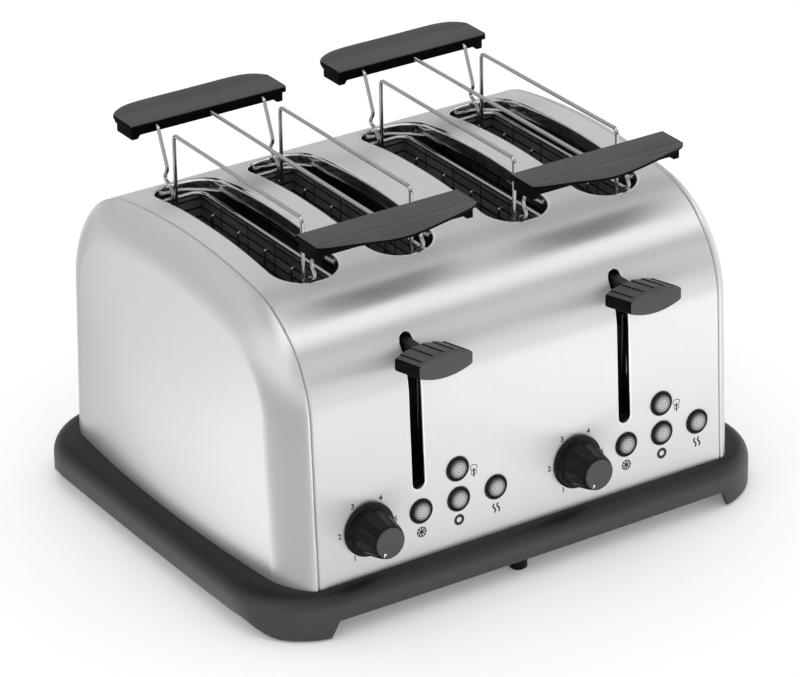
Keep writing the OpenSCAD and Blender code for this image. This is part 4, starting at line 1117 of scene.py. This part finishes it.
class TOASTER_OT_racks(bpy.types.Operator):
    """Builds the two wire bun racks and their four handles"""

    bl_idname = "toaster.racks"
    bl_label = "Bun racks"

    def execute(self, context):
        sizes = context.scene.toaster_racks
        shell = shell_of(context)
        rim_y = context.scene.toaster_shell.slot_length / 2
        legs = leg_corners(sizes, rim_y, shell.outline(shell.at_depth(rim_y))[1])
        # Bend radii of a side wire from a handle to the rail
        radii = [r * MM for r in (3, 5, 2.2, 2, 3, 1.38, 1.38, 3)]
        radii += radii[::-1]
        lit_top_slope = 0.12
        edge_bevel = (0.35 * MM, radians(60))
        for side in SIDES:
            x0 = middle_of(f"{side}_rack").x
            wires = Form()
            reach, height = legs[0]
            centre_wire = [Vector((x0, shell.middle + y, height)) for y in (-reach, reach)]
            wires.tube(centre_wire, sizes.wire / 2)
            for end in (-1, 1):
                x = x0 + end * sizes.span / 2
                corners = [Vector((x, shell.middle - y, z)) for y, z in legs]
                corners += [Vector((x, shell.middle + y, z)) for y, z in reversed(legs)]
                wires.tube(bent(corners, radii), sizes.wire / 2)
            wires.piece(f"rack_wires_{side}", "wire", f"{side}_rack", "bright_wire", f"{side}_rack")
            grips = Form()
            for face in (-1, 1):
                add_handle(grips, sizes, x0, shell.middle, face, rim_y + sizes.handle_gap, side)
            handles = grips.piece(
                f"rack_grips_{side}", "matt", f"{side}_rack", "satin_black_plastic",
                f"{side}_rack_handles", bevel=edge_bevel)
            # Painted light: tops take the lighter grey grip finish, and the sides stay black as painted
            # shade
            second_finish(handles, "grip", lambda face: face.normal.z > lit_top_slope)
        return {"FINISHED"}


class TOASTER_OT_slots(bpy.types.Operator):
    """Builds the wire rims and the guard wires in the bread slots"""

    bl_idname = "toaster.slots"
    bl_label = "Slot wires"

    def execute(self, context):
        sizes = context.scene.toaster_racks
        low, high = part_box("cage_rims")
        middle = (low[1] + high[1]) / 2
        height = low[2] + sizes.rim / 2
        half_l = (high[1] - low[1] - sizes.rim) / 2
        rim_corner = 7 * MM
        rim_inset = 0.4 * MM
        guard_drop = 7 * MM
        guard_lift = 6 * MM
        guard_rise = 0.6 * MM
        guard_bend = 1 * MM
        guard_pitch = 27 * MM
        guard_rows = range(-2, 3)
        stand_off = 2.6 * MM
        rims = Form()
        guards = Form()
        for i in range(SLOT_COUNT):
            cage_low, cage_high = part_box(f"bread_cage_{i + 1}")
            x = (cage_low[0] + cage_high[0]) / 2
            half_w = (cage_high[0] - cage_low[0]) / 2 - rim_inset
            loop = slot_outline(Hole(x, middle, half_w, half_l, rim_corner, 0.0, 0.0, True), 0.0)
            rims.tube([Vector((u, v, height)) for u, v in loop], sizes.rim / 2, closed=True)
            top = cage_high[2] - guard_drop
            for end in (-1, 1):
                wall = x + end * half_w
                inside = wall - end * stand_off
                for k in guard_rows:
                    y = middle + k * guard_pitch
                    corners = [
                        Vector((inside, y, cage_low[2] + guard_lift)), Vector((inside, y, top)),
                        Vector((wall, y, top + guard_rise))]
                    guards.tube(bent(corners, [guard_bend]), sizes.guard / 2, sides=8)
        rims.piece("slot_rims", "wire", "housing", "bright_wire", "cage_rims")
        guards.piece("guard_wires", "wire", "housing", "bright_wire")
        return {"FINISHED"}


def knob_form(sizes, low, high):
    """A lens-shaped knob that falls towards the wall, with five saw teeth across its top."""
    x0 = (low[0] + high[0]) / 2
    z0 = (low[2] + high[2]) / 2
    half_w = (high[0] - low[0]) / 2
    half_h = (high[2] - low[2]) / 2
    drop = half_h - sizes.lever_end / 2
    arc = (half_w ** 2 + drop ** 2) / (2 * drop)
    teeth = 5
    pitch = 2 * half_w / teeth
    riser = 0.12 * MM
    corner = 0.6 * MM

    def height(x):
        return half_h - arc + sqrt(arc ** 2 - x ** 2)

    # Each tooth rises steeply on its left and runs out to its right
    upper = [(-half_w, height(half_w) - corner, 0.0), (corner - half_w, height(half_w - corner), 0.0)]
    for k in range(teeth):
        foot = (k - (teeth - 1) / 2) * pitch
        upper.append((foot - riser, height(foot - riser), 0.0))
        for share in (0.03, 0.25, 0.5, 0.75):
            x = foot + share * pitch
            if x < half_w - corner:
                upper.append((x, height(x), 1 - share))
    upper += [(half_w - corner, height(half_w - corner), 0.4), (half_w, height(half_w) - corner, 0.0)]
    lower = [(x, -z) for x, z, _ in reversed(upper)]
    length = high[1] - low[1]
    start = sizes.tooth_end
    rings = []
    # Each ring has its distance from the knob's front, its inset and the rise of its teeth
    for along, inset, rise in (
            (0, 0.9 * MM, 0), (0.2 * MM, 0.35 * MM, 0), (0.7 * MM, 0, 0), (start, 0, 0),
            (start + 0.4 * MM, 0, sizes.tooth_rise), (length - 0.3 * MM, 0, sizes.tooth_rise),
            (length, 0.4 * MM, sizes.tooth_rise)):
        fall = z0 - along * tan(sizes.lever_tilt)
        across = 1 - inset / half_w
        flat = 1 - inset / half_h
        section = [(x, z + lift * rise) for x, z, lift in upper] + lower
        rings.append([(x0 + x * across, low[1] + along, fall + z * flat) for x, z in section])
    form = Form()
    form.loft(rings)
    return form


class TOASTER_OT_levers(bpy.types.Operator):
    """Builds the two lever knobs with their saw teeth"""

    bl_idname = "toaster.levers"
    bl_label = "Levers"

    def execute(self, context):
        shaded_end_facing = 0.6
        for side in SIDES:
            form = knob_form(context.scene.toaster_controls, *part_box(f"{side}_lever_knob"))
            knob = form.piece(
                f"lever_knob_{side}", "grip", f"{side}_lever", "satin_black_plastic",
                f"{side}_lever_knob", crease=radians(28))
            # Painted shade: the knob's ends take black beside the lighter grey of its front and top
            second_finish(knob, "matt", lambda face: abs(face.normal.x) > shaded_end_facing)
        return {"FINISHED"}


class TOASTER_OT_dials(bpy.types.Operator):
    """Builds the two fluted dials with their pointers"""

    bl_idname = "toaster.dials"
    bl_label = "Dials"

    def execute(self, context):
        sizes = context.scene.toaster_controls
        shell = shell_of(context)
        lift = 0.5 * MM
        skirt = sizes.dial / 2
        base = skirt - 2.5 * MM
        tip = base - 3.3 * MM
        shelf = lift + 3 * MM
        top = lift + sizes.dial_length
        ridge_w = 0.38 * MM
        ridge_h = 0.4 * MM
        flute_steps = 24
        lit_face_facing = 0.9

        def fluted(turn, radius, height):
            if height < shelf + 0.3 * MM or radius < tip - 1.2 * MM:
                return radius
            step = 2 * pi / sizes.flutes
            off = (turn / step) % 1 - 0.5
            edge = (0.5 - abs(off)) * step * radius
            facet = radius * cos(step / 2) / cos(off * step) + ridge_h * exp(-(edge / ridge_w) ** 2)
            run_out = 0.8 * smooth_step(top - 4 * MM, top - 0.6 * MM, height)
            return facet + (radius - facet) * run_out

        # Radius and height from the skirt over its shelf and up the grip to the dished face
        profile = [
            (2 * MM, lift), (skirt - 0.4 * MM, lift), (skirt, lift + 0.4 * MM), (skirt, shelf - 1.2 * MM),
            (skirt - 0.3 * MM, shelf - 0.5 * MM), (skirt - 1 * MM, shelf), (base + 0.4 * MM, shelf),
            (base, shelf + 0.4 * MM)]
        for share in spread(0, 1, 10)[1:]:
            profile.append((base + (tip - base) * share, shelf + (top - shelf - 0.8 * MM) * share))
        profile += [
            (tip - 0.25 * MM, top - 0.3 * MM), (tip - 0.8 * MM, top),
            (tip - 2 * MM, top - 0.1 * MM), (0.3 * MM, top - 0.15 * MM)]
        point = tip - 0.7 * MM
        tail = point - 2.3 * MM
        half_tail = 0.85 * MM
        pointer_height = 0.45 * MM
        face = top - 0.4 * MM
        along = radians(FIRST_NUMBER)

        def turned(a, b):
            return Vector((a * cos(along) - b * sin(along), a * sin(along) + b * cos(along), face))

        for side in SIDES:
            place = shell.wall_frame(middle_of(f"{side}_dial").x, sizes.control_z)
            grip = Form()
            grip.revolve(profile, sizes.flutes * flute_steps, fluted)
            dial = grip.piece(
                f"fluted_dial_{side}", "smooth", f"{side}_dial", "satin_black_plastic", f"{side}_dial",
                place=place)
            # Painted light: the dial's face takes the lighter grey grip finish above its black flutes
            second_finish(
                dial, "grip", lambda part: part.normal.z > lit_face_facing and part.center.z > top - 0.5 * MM)
            mark = Form()
            mark.prism([(point, 0), (tail, half_tail), (tail, -half_tail)], turned, UP * pointer_height)
            mark.piece(f"pointer_{side}", "pointer", f"{side}_dial", "satin_black_plastic", place=place)
        return {"FINISHED"}


class TOASTER_OT_buttons(bpy.types.Operator):
    """Builds the eight push buttons and their bezels"""

    bl_idname = "toaster.buttons"
    bl_label = "Buttons"

    def execute(self, context):
        sizes = context.scene.toaster_controls
        shell = shell_of(context)
        lens_r = sizes.button / 2
        outer = sizes.bezel / 2
        inner = lens_r + 0.2 * MM
        deep = -4.8 * MM
        steps = 64
        # Radius and height of a bezel from its bore over its face to its back
        ring = [
            (inner, deep), (inner, 0.5 * MM), (inner + 0.15 * MM, 0.82 * MM),
            (inner + 0.5 * MM, 0.95 * MM), (outer - 0.5 * MM, 0.9 * MM), (outer - 0.12 * MM, 0.68 * MM),
            (outer, 0.3 * MM), (outer, 0.05 * MM), (outer - 0.9 * MM, 0.05 * MM), (outer - 0.9 * MM, deep)]
        # Radius and height of a lens from its back to its middle
        lens = [
            (lens_r, -6 * MM), (lens_r, 0.8 * MM), (lens_r - 0.15 * MM, 1.2 * MM),
            (lens_r - 0.6 * MM, 1.6 * MM), (lens_r - 1.1 * MM, 1.8 * MM)]
        # Three fine grooves ring the middle of a lens
        lens += [(r * MM, h * MM) for r, h in (
            (3.4, 1.88), (3.2, 1.78), (3.0, 1.9), (2.2, 1.94), (2.0, 1.84), (1.8, 1.95), (0.9, 1.98),
            (0.7, 1.88), (0.5, 1.98), (0.05, 2.0))]
        for side in SIDES:
            bezels = Form()
            for name in BUTTONS:
                node = f"{side}_{name}_button"
                place = shell.facing(node)
                one = Form()
                one.revolve(ring, steps)
                bezels.add([place @ p for p in one.points], one.faces)
                cap = Form()
                cap.revolve(lens, steps)
                cap.piece(f"lens_{side}_{name}", "lens", node, "button_grey", node, place=place)
            bezels.piece(
                f"bezel_rings_{side}", "smooth", "housing", "satin_black_plastic", f"{side}_bezels")
        return {"FINISHED"}


def add_number(form, place, text, spot, height):
    """Adds a number as a thin film on the wall."""
    size_for_height = 1.4
    film = 0.02 * MM
    added_weight = 0.09 * MM
    clear = 0.03 * MM
    letters = bpy.data.curves.new("number", "FONT")
    letters.body = text
    letters.size = height * size_for_height
    letters.align_x = "CENTER"
    letters.align_y = "CENTER"
    letters.extrude = film
    letters.offset = added_weight
    holder = bpy.data.objects.new("number", letters)
    mesh = bpy.data.meshes.new_from_object(holder)
    lift = Vector((*spot, clear))
    form.add([place @ (v.co + lift) for v in mesh.vertices], [tuple(p.vertices) for p in mesh.polygons])
    bpy.data.objects.remove(holder)
    bpy.data.curves.remove(letters)
    bpy.data.meshes.remove(mesh)


def add_stroke(form, place, line, width):
    """Adds a drawn line as a thin flat film on the wall; it is closed if its ends meet."""
    same_point = 0.01 * MM
    film = 0.05 * MM
    path = [Vector((a, b, 0)) for a, b in line]
    closed = (path[0] - path[-1]).length < same_point
    if closed:
        path.pop()
    rise = UP * film
    rings = []
    for point, along in zip(path, directions(path, closed)):
        side = Vector((-along.y, along.x, 0)) * width / 2
        section = (point + side, point - side, point - side + rise, point + side + rise)
        rings.append([place @ p for p in section])
    form.loft(rings, closed)


def icon_lines(name, half):
    """Lines of an icon, each with its width."""
    lines = []
    if name == "thaw":
        arms = 8
        for k in range(arms):
            turn = 2 * pi * k / arms
            lines.append(([(0.0, 0.0), (half * cos(turn), half * sin(turn))], 0.6 * MM))
            joint = (0.66 * half * cos(turn), 0.66 * half * sin(turn))
            for fork in (-0.32, 0.32):
                end = (0.95 * half * cos(turn + fork), 0.95 * half * sin(turn + fork))
                lines.append(([joint, end], 0.55 * MM))
    elif name == "stop":
        radius = 0.75 * half
        turns = spread(0, 2 * pi, 33)
        lines.append(([(radius * cos(t), radius * sin(t)) for t in turns], 1.7 * MM))
    elif name == "warm":
        reach = 0.85 * half
        rows = spread(-reach, reach, 17)
        for k in (-1, 1):
            wave = [(k * 0.42 * half - 0.24 * half * sin(b / reach * pi), b) for b in rows]
            lines.append((wave, 0.95 * MM))
    else:
        side = 0.5 * half
        foot = -0.75 * half
        crust = [
            (0.7 * half * cos(t), side + side * sin(t)) for t in spread(1.15 * pi, -0.15 * pi, 19)]
        bread = [
            (-side, foot), (-side, side / 2), *crust, (side, side / 2), (side, foot), (-side, foot)]
        arrow = [(0.0, -1.25 * half), (0.0, 0.25 * half)]
        head = [(-0.28 * half, -0.2 * half), (0.0, 0.3 * half), (0.28 * half, -0.2 * half)]
        lines += [(bread, 0.4 * MM), (arrow, 0.9 * MM), (head, 0.5 * MM)]
    return lines


class TOASTER_OT_prints(bpy.types.Operator):
    """Prints the numbers round the dials and the icons beside the buttons"""

    bl_idname = "toaster.prints"
    bl_label = "Prints"

    def execute(self, context):
        sizes = context.scene.toaster_controls
        shell = shell_of(context)
        drop = sizes.icon_drop
        below = (0.0, -drop)
        beside = (0.84 * drop, -0.3 * drop)
        for side in SIDES:
            film = Form()
            dial = shell.wall_frame(middle_of(f"{side}_dial").x, sizes.control_z)
            for k in range(NUMBER_COUNT):
                turn = radians(FIRST_NUMBER - NUMBER_STEP * k)
                spot = (sizes.number_ring * cos(turn), sizes.number_ring * sin(turn))
                add_number(film, dial, str(k + 1), spot, sizes.number_height)
            for name in BUTTONS:
                place = shell.facing(f"{side}_{name}_button")
                x, y = beside if name == "bun" else below
                for line, width in icon_lines(name, sizes.icon / 2):
                    add_stroke(film, place, [(x + a, y + b) for a, b in line], width)
            film.piece(f"panel_print_{side}", "print", "housing", "satin_black_plastic")
        return {"FINISHED"}


class TOASTER_OT_works(bpy.types.Operator):
    """Gives the inner works, trays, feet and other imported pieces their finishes"""

    bl_idname = "toaster.works"
    bl_label = "Inner works"

    def execute(self, context):
        works = {
            "cage": [f"bread_cage_{i + 1}" for i in range(SLOT_COUNT)],
            "oxide": [f"{side}_carriage" for side in SIDES],
            "zinc": [
                "bottom_plate", "base_screws", "chassis_floor", "front_bulkhead", "rear_bulkhead", "timers",
                *[f"bread_lift_{i + 1}" for i in range(SLOT_COUNT)],
                *[f"{side}_{name}" for side in SIDES for name in ("dial_shaft", "crumb_tray")]],
            "mica": [f"heater_board_{i + 1}" for i in range(HEATER_COUNT)],
            "lacquer": [f"{side}_control_board" for side in SIDES],
            "copper": [f"{side}_magnet" for side in SIDES],
            "rubber": ["rubber_feet"],
            "wire": ["guide_rods", *[f"{side}_lift_spring" for side in SIDES]],
            "smooth": ["terminal_block", "cord_gland", "wrap_pegs"],
        }
        for key, nodes in works.items():
            for node in nodes:
                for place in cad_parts[node].material_slots:
                    place.material = finish(key)
        return {"FINISHED"}


def place_camera(context):
    """A long lens from the front left, as the photograph was taken."""
    place = Vector((-1.1450, -1.76675, 1.1277))
    heading = radians(32.877)
    fall = radians(26.290)
    roll = radians(-0.791)
    forward = Vector((sin(heading) * cos(fall), cos(heading) * cos(fall), -sin(fall)))
    level = forward.cross(UP).normalized()
    rise = level.cross(forward)
    right = cos(roll) * level + sin(roll) * rise
    up = -sin(roll) * level + cos(roll) * rise
    lens = bpy.data.cameras.new("photo_camera")
    lens.sensor_width = 36
    lens.lens = 193.59
    lens.clip_end = 30
    camera = bpy.data.objects.new("photo_camera", lens)
    turn = Matrix((right, up, -forward)).transposed().to_4x4()
    camera.matrix_world = Matrix.Translation(place) @ turn
    context.scene.collection.objects.link(camera)
    context.scene.camera = camera


def light_room(context):
    """A white room that lights every side evenly."""
    world = bpy.data.worlds.new("white_room")
    world.use_nodes = True
    background = world.node_tree.nodes["Background"].inputs
    background["Color"].default_value = (1, 1, 1, 1)
    background["Strength"].default_value = 1.0
    context.scene.world = world


def lay_floor():
    """A pale floor that keeps the toaster's shadow."""
    half = 8
    drop = 0.1 * MM
    camera_glow = 0.15
    form = Form()
    steps = spread(-half, half, 3)
    form.add([(x, y, -drop) for y in steps for x in steps], grid_faces(3, 3))
    floor = form.object("studio_floor", outward=lambda p: UP)

    def fill(tree, shader):
        matt = add(tree, "ShaderNodeBsdfDiffuse", {"Color": rgba(linear("#f6f6f6"))})
        seen = add(tree, "ShaderNodeLightPath").outputs["Is Camera Ray"]
        glow = add(tree, "ShaderNodeEmission", {
            "Strength": between(tree, seen, 0.0, camera_glow, 0.0, 1.0)})
        both = add(tree, "ShaderNodeAddShader", {0: matt.outputs[0], 1: glow.outputs[0]})
        show_instead(tree, shader, both)

    floor.data.materials.append(material("Pale studio floor", fill))


def add_card(name, points, faces, levels):
    """A card that glows by a level at each point, in reflections alone."""
    form = Form()
    form.add(points, faces)
    card = form.object(name, outward=lambda p: UP)
    glow = card.data.attributes.new("glow", "FLOAT", "POINT")
    for value, level in zip(glow.data, levels):
        value.value = level

    def fill(tree, shader):
        level = add(tree, "ShaderNodeAttribute", attribute_name="glow").outputs["Fac"]
        show_instead(tree, shader, add(tree, "ShaderNodeEmission", {"Strength": level}))

    card.data.materials.append(material("Studio cards", fill))
    card.visible_camera = False
    card.visible_diffuse = False
    card.visible_shadow = False


def add_arch():
    """Grey cards and a strip light in an arch over the toaster, from the front to the back."""
    # Each row of the arch has its angle above the floor in front and its level
    rows = (
        (0, 1.2), (6, 0.8), (14, 0.6), (30, 0.63), (39, 0.6), (44, 0.28), (49.5, 0.24), (51, 1.05),
        (62, 1.4), (70, 1.36), (78, 1.3), (86, 1.02), (94, 0.66), (102, 0.36), (110, 0.3), (118, 0.32),
        (126, 0.58), (135, 0.64), (150, 0.62), (160, 0.5), (180, 0.45))
    radius = 3.0
    half = 6.0
    points = []
    levels = []
    for turn, level in rows:
        for x in (-half, half):
            points.append((x, -radius * cos(radians(turn)), radius * sin(radians(turn))))
            levels.append(level)
    add_card("studio_arch", points, grid_faces(len(rows), 2), levels)


def add_side_card(name, end):
    """A fan on the floor by an end cap, toned by its bearing from the back, for the cap to mirror."""
    bearings = [(-4, 0.55), (6, 0.66), (12, 0.88), (20, 1.1), (30, 1.24), (42, 1.36), (52, 1.34)]
    if end < 0:
        # The left cap's front edge mirrors this grey, and on the right the front wall would
        bearings += [(58, 0.48), (120, 0.44), (150, 0.55), (172, 0.95)]
    x0 = end * 0.15
    y0 = -0.105
    height = 0.3 * MM
    # Each arc of the fan has its distance from the pivot and its share of the bearing's level
    arcs = ((0.02, 1.0), (0.25, 1.0), (0.4, 0.75), (1.6, 0.6))
    points = []
    levels = []
    for turn, level in bearings:
        for reach, share in arcs:
            points.append((
                x0 + end * reach * sin(radians(turn)), y0 + reach * cos(radians(turn)), height))
            levels.append(level * share)
    add_card(name, points, grid_faces(len(bearings), len(arcs)), levels)


def add_front_card(name):
    """A card on the floor with a soft edge, which tones what the front wall mirrors."""
    centre = (0.14, -0.5)
    half = (0.6, 0.36)
    level = 1.48
    edge_start = 0.35
    floor_level = 0.93
    height = 0.2 * MM
    rings = 12
    steps = 48
    points = []
    levels = []
    for k in range(rings):
        reach = (k + 1) / rings
        for turn in spread(0, 2 * pi, steps + 1)[:-1]:
            x = centre[0] + half[0] * reach * cos(turn)
            y = centre[1] + half[1] * reach * sin(turn)
            points.append((x, y, height))
            levels.append(level + (floor_level - level) * smooth_step(edge_start, 1.0, reach))
    faces = grid_faces(rings, steps, False, True) + [tuple(range(steps))]
    add_card(name, points, faces, levels)


class TOASTER_OT_stage(bpy.types.Operator):
    """Sets up the camera, the pale floor, the white room and the soft studio arch"""

    bl_idname = "toaster.stage"
    bl_label = "Stage"

    def execute(self, context):
        place_camera(context)
        light_room(context)
        lay_floor()
        add_arch()
        for side, end in SIDES.items():
            add_side_card(f"{side}_side_card", end)
        add_front_card("front_card")
        context.scene.view_settings.view_transform = "Standard"
        return {"FINISHED"}


class TOASTER_PT_panel(bpy.types.Panel):
    """Sizes, colours and building steps of the toaster"""

    bl_idname = "TOASTER_PT_panel"
    bl_label = "Toaster"
    bl_space_type = "VIEW_3D"
    bl_region_type = "UI"
    bl_category = "Toaster"

    def draw(self, context):
        for group in GROUPS:
            settings = getattr(context.scene, group)
            column = self.layout.column()
            for name in settings.bl_rna.properties.keys():
                if name not in ("rna_type", "name"):
                    column.prop(settings, name)
        for operator in OPERATORS:
            self.layout.operator(operator.bl_idname)


GROUPS = {
    "toaster_shell": ShellSizes,
    "toaster_plinth": PlinthSizes,
    "toaster_controls": ControlSizes,
    "toaster_racks": RackSizes,
    "toaster_colours": Colours,
}
OPERATORS = (
    TOASTER_OT_shell,
    TOASTER_OT_plinth,
    TOASTER_OT_racks,
    TOASTER_OT_slots,
    TOASTER_OT_levers,
    TOASTER_OT_dials,
    TOASTER_OT_buttons,
    TOASTER_OT_prints,
    TOASTER_OT_works,
    TOASTER_OT_stage,
)
CLASSES = (*GROUPS.values(), *OPERATORS, TOASTER_PT_panel)


def register():
    """Adds the settings, the operators and the panel."""
    for kind in CLASSES:
        bpy.utils.register_class(kind)
    for name, kind in GROUPS.items():
        setattr(bpy.types.Scene, name, PointerProperty(type=kind))


def unregister():
    """Takes them away again."""
    for name in GROUPS:
        delattr(bpy.types.Scene, name)
    for kind in reversed(CLASSES):
        bpy.utils.unregister_class(kind)


def main():
    """Builds the whole toaster."""
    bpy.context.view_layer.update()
    register()
    bpy.ops.toaster.shell()
    bpy.ops.toaster.plinth()
    bpy.ops.toaster.racks()
    bpy.ops.toaster.slots()
    bpy.ops.toaster.levers()
    bpy.ops.toaster.dials()
    bpy.ops.toaster.buttons()
    bpy.ops.toaster.prints()
    bpy.ops.toaster.works()
    bpy.ops.toaster.stage()


if __name__ == "__main__":
    main()
